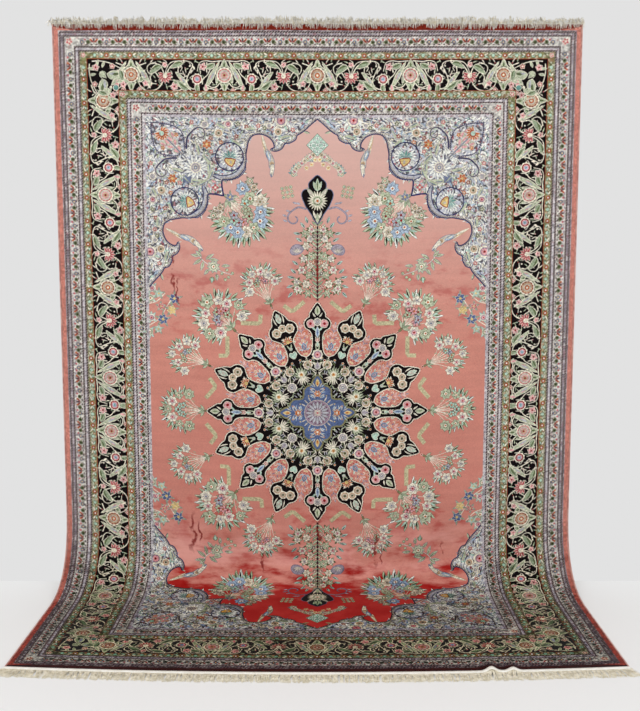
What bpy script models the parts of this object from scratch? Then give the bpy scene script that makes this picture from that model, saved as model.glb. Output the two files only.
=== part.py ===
"""Kashmir silk rug, hung from its top edge, with its lower end swept out over the floor.

Metres, +Z up. The origin is the middle of the rug's top edge, on its back. The back lies in
the plane y = 0 where the rug hangs, the pile faces -Y, and the floor is HANG_HEIGHT below.
A place on the rug is given by `across`, from its middle line, and `along`, from its top edge.
"""

import math
import random

import bmesh
import bpy
import numpy as np
from mathutils import Vector

# The rug as it was knotted
RUG_WIDTH = 1.83
RUG_LENGTH = 2.711
RUG_THICKNESS = 0.005
SELVEDGE_RADIUS = 0.003
PIECE_GAP = 0.0003

# The way it hangs: a plumb upper part, a bend, and a lower part flat on the floor
HANG_HEIGHT = 1.983
BEND_LENGTH_MIDDLE = 0.246
BEND_LENGTH_SIDE = 0.492
SIDE_TAKE_UP = 0.091
BEND_STEPS = 200

# Soft billows of the hanging part: across, along, half width, half height, lift off the wall
BILLOWS = (
    (-0.17, 0.02, 0.17, 0.30, 0.010),
    (0.42, 0.00, 0.15, 0.26, 0.007),
    (-0.62, 0.55, 0.14, 0.42, 0.009),
    (0.30, 0.62, 0.18, 0.34, 0.008),
    (-0.28, 1.32, 0.22, 0.26, 0.012),
    (0.66, 1.20, 0.13, 0.44, 0.008),
    (0.24, 1.60, 0.20, 0.16, 0.012),
)
# Low folds: across, along, half length, half width, turn from the rug's length in degrees, lift
FOLDS = (
    (-0.47, 0.83, 0.24, 0.050, -14.0, 0.005),
    (0.22, 0.80, 0.20, 0.050, 32.0, 0.004),
    (-0.36, 1.72, 0.20, 0.046, 38.0, 0.007),
    (-0.08, 1.80, 0.18, 0.046, -52.0, 0.006),
    (0.20, 1.76, 0.19, 0.046, 46.0, 0.006),
    (0.48, 1.74, 0.18, 0.050, -40.0, 0.006),
)
# Ripples of the lower edge: across, half width, reach up the rug, lift off the floor
EDGE_RIPPLES = (
    (0.505, 0.017, 0.17, 0.013),
    (0.568, 0.015, 0.14, 0.010),
)

# Spacing of the mesh lines, coarse, and fine where the rug turns or ripples
COLUMN_STEP = 0.075
RIPPLE_COLUMN_STEP = 0.0125
HANGING_ROW_STEP = 0.09
BEND_ROW_STEP = 0.042
FLOOR_ROW_STEP = 0.06
BEND_ROWS_FROM, BEND_ROWS_TO = 1.66, 2.24

# Warp fringes: a narrow web strip, and the locks that stand out from it
WEB_THICKNESS = 0.003
WEB_DEPTH = 0.007
TOP_LOCKS = 76
BOTTOM_LOCKS = 90
LOCK_MIDDLE_SHARE = 0.85
LOCK_END_SHARE = 0.6
LOCK_THICKNESS = 0.0024
LOCK_WANDER = 0.0025
TOP_RISE = (0.010, 0.016)
TOP_TIP = (0.006, 0.013)
TOP_RISE_PITCH = (2.0, 24.0)
TOP_TIP_PITCH = (35.0, 125.0)
BOTTOM_REACH = (0.040, 0.048)
CORNER_SPLAY = 0.034

SALMON_SILK = (0.62, 0.23, 0.20)
MADDER_CORD = (0.50, 0.16, 0.13)
CREAM_COTTON = (0.80, 0.74, 0.62)


def clear_scene():
    for item in list(bpy.data.objects):
        bpy.data.objects.remove(item, do_unlink=True)


def cloth_material(name, colour, roughness):
    material = bpy.data.materials.new(name)
    material.use_nodes = True
    shader = material.node_tree.nodes["Principled BSDF"]
    shader.inputs["Base Color"].default_value = (*colour, 1.0)
    shader.inputs["Roughness"].default_value = roughness
    shader.inputs["Metallic"].default_value = 0.0
    return material


def add_piece(name, mesh, collection, material):
    piece = bpy.data.objects.new(name, mesh)
    collection.objects.link(piece)
    mesh.materials.append(material)
    return piece


def bend_table():
    """Fall and reach at each share of a bend of unit length, which turns as a smooth step."""
    share = np.linspace(0.0, 1.0, BEND_STEPS + 1)
    angle = 0.5 * math.pi * share ** 2 * (3.0 - 2.0 * share)
    falls = 0.5 * (np.cos(angle[1:]) + np.cos(angle[:-1])) / BEND_STEPS
    reaches = 0.5 * (np.sin(angle[1:]) + np.sin(angle[:-1])) / BEND_STEPS
    return share, np.append(0.0, np.cumsum(falls)), np.append(0.0, np.cumsum(reaches))


BEND_SHARE, BEND_FALL, BEND_REACH = bend_table()


def side_share(across):
    """0 at the rug's middle line and 1 at its long edges, rising as a square."""
    return min(1.0, abs(across) / (0.5 * RUG_WIDTH)) ** 2


def profile(across, along):
    """Reach from the wall, height above the floor and turn (0 hanging, 1 lying) of the back."""
    bend = BEND_LENGTH_MIDDLE + (BEND_LENGTH_SIDE - BEND_LENGTH_MIDDLE) * side_share(across)
    length = along * (1.0 - SIDE_TAKE_UP * side_share(across) / RUG_LENGTH)
    bend_start = HANG_HEIGHT - BEND_FALL[-1] * bend
    if length <= bend_start:
        return 0.0, HANG_HEIGHT - length, 0.0
    if length >= bend_start + bend:
        return BEND_REACH[-1] * bend + (length - bend_start - bend), 0.0, 1.0
    share = (length - bend_start) / bend
    reach = bend * float(np.interp(share, BEND_SHARE, BEND_REACH))
    height = HANG_HEIGHT - bend_start - bend * float(np.interp(share, BEND_SHARE, BEND_FALL))
    return reach, height, share ** 2 * (3.0 - 2.0 * share)


def hanging_lift(across, along):
    """How far the hanging part stands off the wall in its billows and low folds."""
    lift = 0.0
    for middle, down, half_width, half_height, height in BILLOWS:
        spread = ((across - middle) / half_width) ** 2 + ((along - down) / half_height) ** 2
        lift += height * math.exp(-spread)
    for middle, down, half_length, half_width, turn, height in FOLDS:
        cosine, sine = math.cos(math.radians(turn)), math.sin(math.radians(turn))
        lengthwise = (across - middle) * sine + (along - down) * cosine
        sideways = (across - middle) * cosine - (along - down) * sine
        lift += height * math.exp(-(lengthwise / half_length) ** 2 - (sideways / half_width) ** 2)
    return lift


def ripple_lift(across, beyond_edge):
    """Lift of the lower edge's ripples, which fade with the distance up the rug."""
    lift = 0.0
    for middle, half_width, reach, height in EDGE_RIPPLES:
        fade = max(0.0, 1.0 + min(0.0, beyond_edge) / reach)
        lift += height * fade ** 2 * math.exp(-((across - middle) / half_width) ** 2)
    return lift


def back_point(across, along):
    """Place and pile-side direction of a point of the rug's back."""
    reach, height, turn = profile(across, along)
    angle = 0.5 * math.pi * turn
    normal = Vector((0.0, -math.cos(angle), math.sin(angle)))
    lift = (1.0 - turn) * hanging_lift(across, along)
    lift += turn * ripple_lift(across, along - RUG_LENGTH)
    return Vector((across, -reach, height - HANG_HEIGHT)) + normal * lift, normal


def spaced(start, end, step):
    return list(np.linspace(start, end, max(2, round((end - start) / step) + 1)))


def column_places(half_width):
    """Mesh columns, fine across the edge ripples and coarse elsewhere."""
    first = EDGE_RIPPLES[0][0] - 2.4 * EDGE_RIPPLES[0][1]
    last = EDGE_RIPPLES[-1][0] + 2.4 * EDGE_RIPPLES[-1][1]
    left = spaced(-half_width, first, COLUMN_STEP)
    fine = spaced(first, last, RIPPLE_COLUMN_STEP)
    right = spaced(last, half_width, COLUMN_STEP)
    return left + fine[1:] + right[1:]


def row_places():
    """Mesh rows, fine where the rug turns onto the floor."""
    hanging = spaced(0.0, BEND_ROWS_FROM, HANGING_ROW_STEP)
    bend = spaced(BEND_ROWS_FROM, BEND_ROWS_TO, BEND_ROW_STEP)
    floor = spaced(BEND_ROWS_TO, RUG_LENGTH, FLOOR_ROW_STEP)
    return hanging + bend[1:] + floor[1:]


def build_rug(collection):
    """The knotted rug: a flat grid of unit thickness, laid onto the hung and lying surface."""
    columns = column_places(0.5 * RUG_WIDTH - 2.0 * SELVEDGE_RADIUS - PIECE_GAP)
    rows = row_places()
    shape = bmesh.new()
    bmesh.ops.create_grid(shape, x_segments=len(columns) - 1, y_segments=len(rows) - 1, size=1.0)
    bmesh.ops.solidify(shape, geom=shape.faces[:], thickness=1.0)
    for vert in shape.verts:
        across = columns[round((vert.co.x + 1.0) / 2.0 * (len(columns) - 1))]
        along = rows[round((1.0 - vert.co.y) / 2.0 * (len(rows) - 1))]
        back, normal = back_point(across, along)
        vert.co = back + normal * RUG_THICKNESS * round(abs(vert.co.z))
    bmesh.ops.recalc_face_normals(shape, faces=shape.faces[:])
    mesh = bpy.data.meshes.new("rug")
    shape.to_mesh(mesh)
    shape.free()
    return add_piece("rug", mesh, collection, cloth_material("salmon_silk_pile", SALMON_SILK, 0.6))


def build_selvedge(name, side, collection):
    """The overcast cord of one long side, a round tube along the rug's edge."""
    across = side * (0.5 * RUG_WIDTH - SELVEDGE_RADIUS)
    curve = bpy.data.curves.new(name, "CURVE")
    curve.dimensions = "3D"
    curve.bevel_depth = SELVEDGE_RADIUS
    curve.bevel_resolution = 2
    curve.use_fill_caps = True
    places = row_places()
    places[0] += PIECE_GAP
    places[-1] -= PIECE_GAP
    spline = curve.splines.new("POLY")
    spline.points.add(len(places) - 1)
    for point, along in zip(spline.points, places):
        back, normal = back_point(across, along)
        point.co = (*(back + normal * SELVEDGE_RADIUS), 1.0)
    return add_piece(name, curve, collection, cloth_material("madder_cord", MADDER_CORD, 0.7))


def lock_strip(lock_count):
    """A web strip in its own axes, with every second cell of its outer side ready for a lock.

    Its x runs along the rug's edge, its y away from that edge and its z through the cloth.
    """
    strip = bmesh.new()
    bmesh.ops.create_cube(strip, size=1.0)
    long_edges = [edge for edge in strip.edges
                  if abs(edge.verts[0].co.x - edge.verts[1].co.x) > 0.5]
    bmesh.ops.subdivide_edges(strip, edges=long_edges, cuts=2 * lock_count, use_grid_fill=True)
    for vert in strip.verts:
        vert.co.x *= RUG_WIDTH - 2.0 * PIECE_GAP
        vert.co.y = PIECE_GAP + (vert.co.y + 0.5) * WEB_DEPTH
        vert.co.z = (vert.co.z + 0.5) * WEB_THICKNESS
    strip.normal_update()
    outer = sorted((face for face in strip.faces if face.normal.y > 0.5),
                   key=lambda face: face.calc_center_median().x)
    return strip, outer[1::2]


def draw_out(strip, faces, from_pitch, moves, pitches, width_share):
    """Extrudes each face by its own move, narrows it, and turns it to its lock's new pitch.

    A pitch is the lock's direction in the y-z plane: 0 runs along y, and 90 degrees along z.
    """
    new_faces = bmesh.ops.extrude_discrete_faces(strip, faces=faces)["faces"]
    for face, old_pitch, move, pitch in zip(new_faces, from_pitch, moves, pitches):
        middle = face.calc_center_median()
        old_through = Vector((0.0, -math.sin(old_pitch), math.cos(old_pitch)))
        through = Vector((0.0, -math.sin(pitch), math.cos(pitch)))
        for vert in face.verts:
            offset = vert.co - middle
            half = math.copysign(0.5 * LOCK_THICKNESS, offset.dot(old_through))
            vert.co = middle + move + Vector((offset.x * width_share, 0.0, 0.0)) + through * half
    return new_faces


def finish_fringe(name, strip, collection):
    mesh = bpy.data.meshes.new(name)
    strip.to_mesh(mesh)
    strip.free()
    return add_piece(name, mesh, collection, cloth_material("cream_cotton_warp", CREAM_COTTON, 0.85))


def build_top_fringe(collection):
    """Short ragged locks that stand up from the top edge and droop towards the pile."""
    draw = random.Random(11)
    strip, roots = lock_strip(TOP_LOCKS)
    level = [0.0] * len(roots)
    rise_pitch, tip_pitch, rises, tips = [], [], [], []
    for _ in roots:
        lean = math.radians(draw.uniform(*TOP_RISE_PITCH))
        droop = math.radians(draw.uniform(*TOP_TIP_PITCH))
        rise, tip = draw.uniform(*TOP_RISE), draw.uniform(*TOP_TIP)
        wander = draw.uniform(-LOCK_WANDER, LOCK_WANDER)
        rises.append(Vector((wander, rise * math.cos(lean), rise * math.sin(lean))))
        tips.append(Vector((wander, tip * math.cos(droop), tip * math.sin(droop))))
        rise_pitch.append(0.5 * (lean + droop))
        tip_pitch.append(droop)
    middles = draw_out(strip, roots, level, rises, rise_pitch, LOCK_MIDDLE_SHARE)
    draw_out(strip, middles, rise_pitch, tips, tip_pitch, LOCK_END_SHARE)
    for vert in strip.verts:
        edge, normal = back_point(vert.co.x, 0.0)
        through = vert.co.z + 0.5 * (RUG_THICKNESS - WEB_THICKNESS)
        vert.co = edge + normal * through + Vector((0.0, 0.0, vert.co.y))
    return finish_fringe("fringe_top", strip, collection)


def build_bottom_fringe(collection):
    """Locks that lie level on the floor beyond the lower edge, and follow its ripples."""
    draw = random.Random(23)
    strip, roots = lock_strip(BOTTOM_LOCKS)
    level = [0.0] * len(roots)
    firsts, seconds = [], []
    for face in roots:
        middle = face.calc_center_median()
        splay = math.copysign(CORNER_SPLAY * (abs(middle.x) / (0.5 * RUG_WIDTH)) ** 14, middle.x)
        reach = 0.5 * draw.uniform(*BOTTOM_REACH)
        wander = draw.uniform(-LOCK_WANDER, LOCK_WANDER)
        drop = 0.5 * LOCK_THICKNESS - middle.z
        firsts.append(Vector((wander + 0.5 * splay, reach, drop)))
        seconds.append(Vector((0.5 * splay - wander, reach, 0.0)))
    middles = draw_out(strip, roots, level, firsts, level, LOCK_MIDDLE_SHARE)
    draw_out(strip, middles, level, seconds, level, LOCK_END_SHARE)
    full_reach = WEB_DEPTH + BOTTOM_REACH[0]
    for vert in strip.verts:
        beyond, up = vert.co.y, vert.co.z
        edge, _ = back_point(vert.co.x, RUG_LENGTH)
        lift = (edge.z + HANG_HEIGHT) * max(0.0, 1.0 - beyond / full_reach) ** 2
        vert.co = Vector((vert.co.x, edge.y - beyond, up + lift - HANG_HEIGHT))
    bmesh.ops.reverse_faces(strip, faces=strip.faces[:])
    return finish_fringe("fringe_bottom", strip, collection)


def main():
    clear_scene()
    collection = bpy.data.collections.new("kashmir_silk_rug")
    bpy.context.scene.collection.children.link(collection)
    build_rug(collection)
    build_selvedge("selvedge_left", -1.0, collection)
    build_selvedge("selvedge_right", 1.0, collection)
    build_top_fringe(collection)
    build_bottom_fringe(collection)


main()
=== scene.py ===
# %% [markdown]
# # A kashmir silk rug, hung up and swept out over the floor
# The real rug is knotted on a loom from a cartoon, a drawing on squared paper that tells the
# weaver the colour of each knot. This lesson builds it the same way: the cartoon is drawn as
# flat shapes in millimetres, it is cut into one mesh, and the mesh is laid on the hanging and
# lying surface of the rug. A picture could be stretched over a plain sheet instead, but then
# the flowers would blur close up, and there would be nothing to learn about how they are drawn.

# %% Load the frame
import math
import random

import bmesh
import bpy
import numpy as np
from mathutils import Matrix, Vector
from mathutils.bvhtree import BVHTree
from mathutils.geometry import delaunay_2d_cdt


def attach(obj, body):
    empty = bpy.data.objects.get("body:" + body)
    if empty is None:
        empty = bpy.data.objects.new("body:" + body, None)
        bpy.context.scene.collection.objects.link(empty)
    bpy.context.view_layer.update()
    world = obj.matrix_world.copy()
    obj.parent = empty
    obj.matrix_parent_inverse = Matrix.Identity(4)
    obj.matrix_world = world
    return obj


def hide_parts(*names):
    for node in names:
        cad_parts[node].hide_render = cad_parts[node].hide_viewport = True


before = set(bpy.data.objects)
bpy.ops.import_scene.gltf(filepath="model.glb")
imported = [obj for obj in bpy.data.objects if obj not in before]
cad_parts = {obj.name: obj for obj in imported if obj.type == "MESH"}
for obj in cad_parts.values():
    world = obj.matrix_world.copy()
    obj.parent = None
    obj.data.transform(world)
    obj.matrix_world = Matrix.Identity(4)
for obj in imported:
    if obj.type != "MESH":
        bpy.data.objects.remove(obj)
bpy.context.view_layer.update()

# %% [markdown]
# ## Sizes of the rug and of the way it hangs
# A rug of this kind is about 1.8 by 2.7 m. It hangs plumb, bends, and lies flat. The bend is
# tight in the middle and wide at the long edges, and the edges take up a little length in it.
# These are the sizes of the solids, so that the cloth lies exactly on them.

# %% Sizes
MM = 0.001
RUG_WIDTH, RUG_LENGTH, RUG_THICKNESS = 1.83, 2.711, 0.005
CORD_RADIUS, PIECE_GAP = 0.003, 0.0003
HANG_HEIGHT = 1.983
BEND_LENGTH_MIDDLE, BEND_LENGTH_SIDE, SIDE_TAKE_UP = 0.246, 0.492, 0.091
BEND_STEPS = 200
BILLOWS = (  # across, along, half width, half height, lift off the wall
    (-0.17, 0.02, 0.17, 0.30, 0.010),
    (0.42, 0.00, 0.15, 0.26, 0.007),
    (-0.62, 0.55, 0.14, 0.42, 0.009),
    (0.30, 0.62, 0.18, 0.34, 0.008),
    (-0.28, 1.32, 0.22, 0.26, 0.012),
    (0.66, 1.20, 0.13, 0.44, 0.008),
    (0.24, 1.60, 0.20, 0.16, 0.012),
)
FOLDS = (  # across, along, half length, half width, turn in degrees, lift
    (-0.47, 0.83, 0.24, 0.050, -14.0, 0.005),
    (0.22, 0.80, 0.20, 0.050, 32.0, 0.004),
    (-0.36, 1.72, 0.20, 0.046, 38.0, 0.007),
    (-0.08, 1.80, 0.18, 0.046, -52.0, 0.006),
    (0.20, 1.76, 0.19, 0.046, 46.0, 0.006),
    (0.48, 1.74, 0.18, 0.050, -40.0, 0.006),
)
EDGE_RIPPLES = (  # across, half width, reach up the rug, lift off the floor
    (0.505, 0.017, 0.17, 0.013),
    (0.568, 0.015, 0.14, 0.010),
)
print("flat size", RUG_WIDTH, "x", RUG_LENGTH, "m, hung from", HANG_HEIGHT, "m")

# %% [markdown]
# ## The surface of the hung rug
# Cloth that is laid in a bend keeps its length, so a point is found by its way along the rug
# and not by its height. The turn of the bend is a smooth step of that way, which a stiff pile
# rug does by itself. Adding up the small falls and reaches gives the curve.

# %% Surface of the back
share = np.linspace(0.0, 1.0, BEND_STEPS + 1)
bend_angle = 0.5 * math.pi * share ** 2 * (3.0 - 2.0 * share)
fall_steps = 0.5 * (np.cos(bend_angle[1:]) + np.cos(bend_angle[:-1])) / BEND_STEPS
reach_steps = 0.5 * (np.sin(bend_angle[1:]) + np.sin(bend_angle[:-1])) / BEND_STEPS
BEND_FALL = np.append(0.0, np.cumsum(fall_steps))
BEND_REACH = np.append(0.0, np.cumsum(reach_steps))


def rug_lift(across, along, turn):
    """Lift of the back along its normal, from billows, low folds and edge ripples."""
    lift = np.zeros_like(across)
    for middle, down, half_width, half_height, height in BILLOWS:
        spread = ((across - middle) / half_width) ** 2 + ((along - down) / half_height) ** 2
        lift += height * np.exp(-spread)
    for middle, down, half_length, half_width, tilt, height in FOLDS:
        cosine, sine = math.cos(math.radians(tilt)), math.sin(math.radians(tilt))
        lengthwise = (across - middle) * sine + (along - down) * cosine
        sideways = (across - middle) * cosine - (along - down) * sine
        lift += height * np.exp(-(lengthwise / half_length) ** 2 - (sideways / half_width) ** 2)
    lift *= 1.0 - turn
    for middle, half_width, reach, height in EDGE_RIPPLES:
        fade = np.clip(1.0 + np.minimum(0.0, along - RUG_LENGTH) / reach, 0.0, 1.0)
        lift += turn * height * fade ** 2 * np.exp(-((across - middle) / half_width) ** 2)
    return lift


def surface(across, along, height=0.0):
    """Places at `height` above the rug's back, for arrays of places on the flat rug."""
    across, along = np.asarray(across, float), np.asarray(along, float)
    side = np.minimum(1.0, np.abs(across) / (0.5 * RUG_WIDTH)) ** 2
    bend = BEND_LENGTH_MIDDLE + (BEND_LENGTH_SIDE - BEND_LENGTH_MIDDLE) * side
    length = along * (1.0 - SIDE_TAKE_UP * side / RUG_LENGTH)
    bend_start = HANG_HEIGHT - BEND_FALL[-1] * bend
    part = np.clip((length - bend_start) / bend, 0.0, 1.0)
    lying = np.maximum(0.0, length - bend_start - bend)
    reach = bend * np.interp(part, share, BEND_REACH) + lying
    fall = np.minimum(length, bend_start) + bend * np.interp(part, share, BEND_FALL)
    turn = part ** 2 * (3.0 - 2.0 * part)
    angle = 0.5 * math.pi * turn
    lift = rug_lift(across, along, turn) + height
    return np.stack((across, -reach - np.cos(angle) * lift, -fall + np.sin(angle) * lift), -1)


print("lower edge reaches", surface([0.0, 0.9], [RUG_LENGTH] * 2).round(3).tolist())

# %% [markdown]
# ## Silks
# A rug like this is knotted in some twenty dyed silks. They are named here as a dyer would
# name them. Each knot in the mesh keeps the number of its silk, and the pile material turns
# that into colour, so one material serves the whole rug.

# %% Silks
SILKS = {  # red, green, blue as seen on a screen
    "salmon": (200, 134, 120), "ink": (24, 18, 20), "cream": (226, 219, 200), "ivory": (194, 185, 172),
    "sage": (150, 164, 136), "pale sage": (182, 190, 162), "moss": (96, 108, 74), "olive": (128, 124, 92),
    "celadon": (176, 203, 186), "teal": (104, 150, 144), "lilac": (158, 149, 160),
    "silver": (176, 176, 184),
    "slate": (108, 116, 142), "navy": (48, 50, 92), "denim": (86, 102, 140), "pale blue": (168, 186, 204),
    "pink": (214, 158, 160), "rose": (188, 98, 104), "madder": (142, 38, 40), "brick": (150, 64, 44),
    "rust": (186, 102, 58), "gold": (214, 186, 124), "tan": (190, 160, 132), "mauve": (150, 128, 146),
    "plum": (66, 34, 50), "dotted": (34, 22, 30), "dotted ink": (18, 12, 18), "umber": (84, 66, 60),
    "white": (230, 230, 222), "bracket green": (190, 182, 146), "coral": (198, 128, 114),
    # edge brick is set a little darker than its dye: partly for its fine black lines, partly as painted
    # shade for the shadow of the upper fringe, on both ends alike
    "edge brick": (122, 42, 30),
    "ivory ground": (204, 201, 194), "silver ground": (182, 184, 194), "sage ground": (134, 134, 92),
    "lilac stripe": (190, 184, 190), "mauve stripe": (150, 140, 148),
}
SILK_KINDS = {"dotted": 0.0, "dotted ink": 0.0, "salmon": 0.5, "silver ground": 0.75, "ivory ground": 0.9,
              "sage ground": 0.9, "lilac stripe": 0.9, "mauve stripe": 0.9}
SILK_NAMES = list(SILKS)
SILK_COLOURS = (np.array([SILKS[name] for name in SILK_NAMES]) / 255.0) ** 2.2
print(len(SILK_NAMES), "silks")

# %% [markdown]
# ## Drawing tools of the cartoon
# Every flower is laid on the ground like a paper cutting: a loop of points and a silk. A later
# cutting covers an earlier one. Complex numbers hold the points, because one product then
# turns and sizes a whole loop. A cutting with an edge is the same loop grown by a little in
# another silk, laid first, which is how the fine outlines of such a rug are drawn.

# %% Drawing tools
def grown(loop, by):
    """The loop with each point moved out along the bisector of its two sides."""
    ahead, back = np.roll(loop, -1) - loop, loop - np.roll(loop, 1)
    along = ahead / (abs(ahead) + 1e-9) + back / (abs(back) + 1e-9)
    length = np.maximum(abs(along), 0.9)
    return loop - 1j * along / length * by


def loop_area(loop):
    return 0.5 * np.sum(loop.real * np.roll(loop.imag, -1) - np.roll(loop.real, -1) * loop.imag)


class Cartoon:
    """Cuttings of silk on a ground, in the order in which they are laid."""

    def __init__(self):
        self.cuttings = []

    def lay(self, loop, silk, edge=None, line=2.0):
        loop = np.asarray(loop, complex)
        if loop_area(loop) < 0.0:
            loop = loop[::-1]
        if edge:
            self.cuttings.append((grown(loop, line), edge))
        self.cuttings.append((loop, silk))
        return self

    def put(self, other, at=0.0, turn=0.0, size=1.0, flip=False):
        """Lays another cartoon's cuttings, flipped over, sized, turned and moved."""
        swing = size * np.exp(1j * math.radians(turn))
        for loop, silk in other.cuttings:
            placed = at + swing * (loop.conj() if flip else loop)
            self.cuttings.append((placed[::-1] if flip else placed, silk))
        return self

    def without_first(self, number):
        """The cartoon without its first cuttings."""
        rest = Cartoon()
        rest.cuttings = self.cuttings[number:]
        return rest


def round_loop(radius, at=0.0, points=10):
    return at + radius * np.exp(2j * math.pi * np.arange(points) / points)


def box_loop(low, high, step=6.0):
    """A box with points all along its sides, so that it can follow a curved surface."""
    corners = [low, high.real + 1j * low.imag, high, low.real + 1j * high.imag]
    sides = []
    for start, end in zip(corners, corners[1:] + corners[:1]):
        count = max(1, int(abs(end - start) / step))
        sides.append(start + (end - start) * np.arange(count) / count)
    return np.concatenate(sides)


def petal_loop(radius, petals, dip=0.25, at=0.0, turn=0.0, steps=3):
    """Outline of a flower seen from above, with round petals."""
    angle = 2.0 * math.pi * np.arange(petals * steps) / (petals * steps)
    bulge = np.abs(np.cos(0.5 * petals * angle)) ** 0.7
    return at + radius * (1.0 - dip + dip * bulge) * np.exp(1j * (angle + math.radians(turn)))


def leaf_loop(length, width, at=0.0, turn=0.0, bend=0.0, steps=4):
    """A leaf from its foot to its tip, which may bend sideways."""
    part = np.linspace(0.0, 1.0, steps + 1)
    half = 0.5 * width * np.sin(math.pi * part ** 0.85)
    spine = length * part + 1j * bend * part ** 2
    outline = np.concatenate((spine - 1j * half, (spine + 1j * half)[-2:0:-1]))
    return at + outline * np.exp(1j * math.radians(turn))


def smooth_path(points, steps=4):
    """A smooth curve through the points."""
    knots = np.asarray(points, complex)
    knots = np.concatenate(([2 * knots[0] - knots[1]], knots, [2 * knots[-1] - knots[-2]]))
    part = np.arange(steps) / steps
    curve = []
    for a, b, c, d in zip(knots, knots[1:], knots[2:], knots[3:]):
        curve.append(0.5 * (2 * b + (c - a) * part + (2 * a - 5 * b + 4 * c - d) * part ** 2
                            + (3 * b - a - 3 * c + d) * part ** 3))
    return np.append(np.concatenate(curve), knots[-2])


def closed_path(points, steps=3):
    """A smooth closed loop through the points."""
    knots = np.asarray(points, complex)
    part = np.arange(steps) / steps
    rounds = zip(np.roll(knots, 1), knots, np.roll(knots, -1), np.roll(knots, -2))
    return np.concatenate([0.5 * (2 * b + (c - a) * part + (2 * a - 5 * b + 4 * c - d) * part ** 2
                                  + (3 * b - a - 3 * c + d) * part ** 3) for a, b, c, d in rounds])


def ribbon(path, width, end_width=None):
    """A band along a path, which may taper to its end."""
    path = np.asarray(path, complex)
    way = np.gradient(path)
    side = 1j * way / (abs(way) + 1e-9)
    half = 0.5 * np.linspace(width, width if end_width is None else end_width, len(path))
    return np.concatenate((path - side * half, (path + side * half)[::-1]))


def spiral_path(at, start_radius, end_radius, start, sweep, steps=14):
    """A path that winds about a point; angles in degrees."""
    angle = np.radians(start + sweep * np.linspace(0.0, 1.0, steps))
    return at + np.linspace(start_radius, end_radius, steps) * np.exp(1j * angle)


print("an eight-petalled flower has", len(petal_loop(10, 8)), "points")

# %% [markdown]
# ## The small flowers
# The same few flowers return all over the rug in other sizes and silks: a round rosette of
# rings, a star flower, a toothed carnation, a bud with its leaves, and a curled leaf. Each is
# a short function that gives a small cartoon, so a bed of them is only a matter of placing.

# %% Small flowers
def rosette(radius, rings, petals=8, edge="cream"):
    """A round flower of petalled rings, each a share of the radius and a silk."""
    flower = Cartoon()
    for number, (share_of_radius, silk) in enumerate(rings):
        steps = 3 if radius * share_of_radius > 8.0 else 2
        dip = 0.34 if number == 0 and radius < 24.0 else 0.18
        loop = petal_loop(radius * share_of_radius, petals, dip, turn=180.0 / petals * number, steps=steps)
        flower.lay(loop, silk, edge if number == 0 else None, 1.6)
    return flower


def star_flower(radius, silk, heart, edge="cream", petals=5):
    flower = Cartoon()
    for petal in range(petals):
        turn = 360.0 * petal / petals + 90.0
        flower.lay(leaf_loop(radius, radius * 0.72, turn=turn, steps=3), silk, edge, 1.5)
    return flower.lay(round_loop(radius * 0.28, points=6), heart)


def carnation(radius, silk="rose", heart="cream", petals=9, sweep=230.0):
    """A half-open flower with toothed petals, facing +y."""
    flower = Cartoon()
    for petal in range(petals):
        turn = 90.0 + sweep * (petal / (petals - 1) - 0.5)
        flower.lay(leaf_loop(radius, radius * 0.34, turn=turn, steps=3), silk, "cream", 1.4)
    for petal in range(petals):
        turn = 90.0 + sweep * (petal / (petals - 1) - 0.5)
        flower.lay(leaf_loop(radius * 0.62, radius * 0.13, turn=turn, steps=2), "madder")
    return flower.lay(round_loop(radius * 0.34, points=8), heart)


def bud(length, silk, edge="cream", leaf="sage"):
    """A bud between two leaves, pointing along +x."""
    flower = Cartoon()
    for side in (-1.0, 1.0):
        flower.lay(leaf_loop(length * 0.7, length * 0.3, turn=34.0 * side, steps=3), leaf, edge, 1.3)
    return flower.lay(leaf_loop(length, length * 0.42, steps=3), silk, edge, 1.3)


def curled_leaf(length, width, silk="sage", edge="cream", vein="moss", curl=0.5):
    """A broad leaf with a darker back half, curling towards +y."""
    leaf = Cartoon()
    leaf.lay(leaf_loop(length, width, bend=length * curl, steps=6), silk, edge, 2.0)
    leaf.lay(leaf_loop(length * 0.8, width * 0.3, at=length * 0.08 - 0.16j * width,
                       bend=length * curl * 0.62, steps=5), vein)
    return leaf


def long_tailed_bird():
    """The bird of the borders, from the tip of its tail to its beak along +x."""
    bird = Cartoon()
    back = [0, 26 + 2.6j, 46 + 6j, 62 + 8.5j, 76 + 6j, 84 + 7j, 92 + 3j, 99 - 2j]
    breast = [91 - 3j, 83 - 4.5j, 72 - 6j, 58 - 8j, 44 - 6.5j, 24 - 3j]
    bird.lay(closed_path(back + breast, 2), "pale sage", "cream", 2.2)
    bird.lay(leaf_loop(34, 7, at=38 + 1j, turn=2, steps=4), "silver")
    bird.lay(leaf_loop(22, 4, at=52 - 4j, turn=8, steps=3), "pink")
    return bird.lay(round_loop(1.3, at=88 + 1.5j, points=5), "ink")


def palmette(height, rings, shell="pale sage"):
    """The crowned palmette of the main border, from its foot at 0 up to its crown along +y."""
    flower = Cartoon()
    right = [0.0, 0.06 + 0.10j, 0.10 + 0.20j, 0.17 + 0.26j, 0.27 + 0.36j, 0.26 + 0.52j, 0.27 + 0.72j,
             0.17 + 0.72j,
             0.08 + 0.86j]
    loop = [point * height for point in right] + [1.04j * height]
    loop += [complex(-point.real, point.imag) * height for point in reversed(right[1:])]
    flower.lay(closed_path(loop, 2), shell, "cream", 2.2)
    for side in (-1.0, 1.0):
        flower.lay(leaf_loop(height * 0.2, height * 0.07, at=height * (0.12 * side + 0.62j),
                             turn=90.0 - 30.0 * side, steps=3), "moss")
    flower.lay(leaf_loop(height * 0.17, height * 0.07, at=0.80j * height, turn=90, steps=3), "moss")
    flower.lay(leaf_loop(height * 0.22, height * 0.07, at=0.08j * height, turn=90, steps=3), "moss")
    flower.lay(round_loop(height * 0.275, 0.50j * height, 14), "ink")
    return flower.put(rosette(height * 0.255, rings, 12), 0.50j * height)


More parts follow.
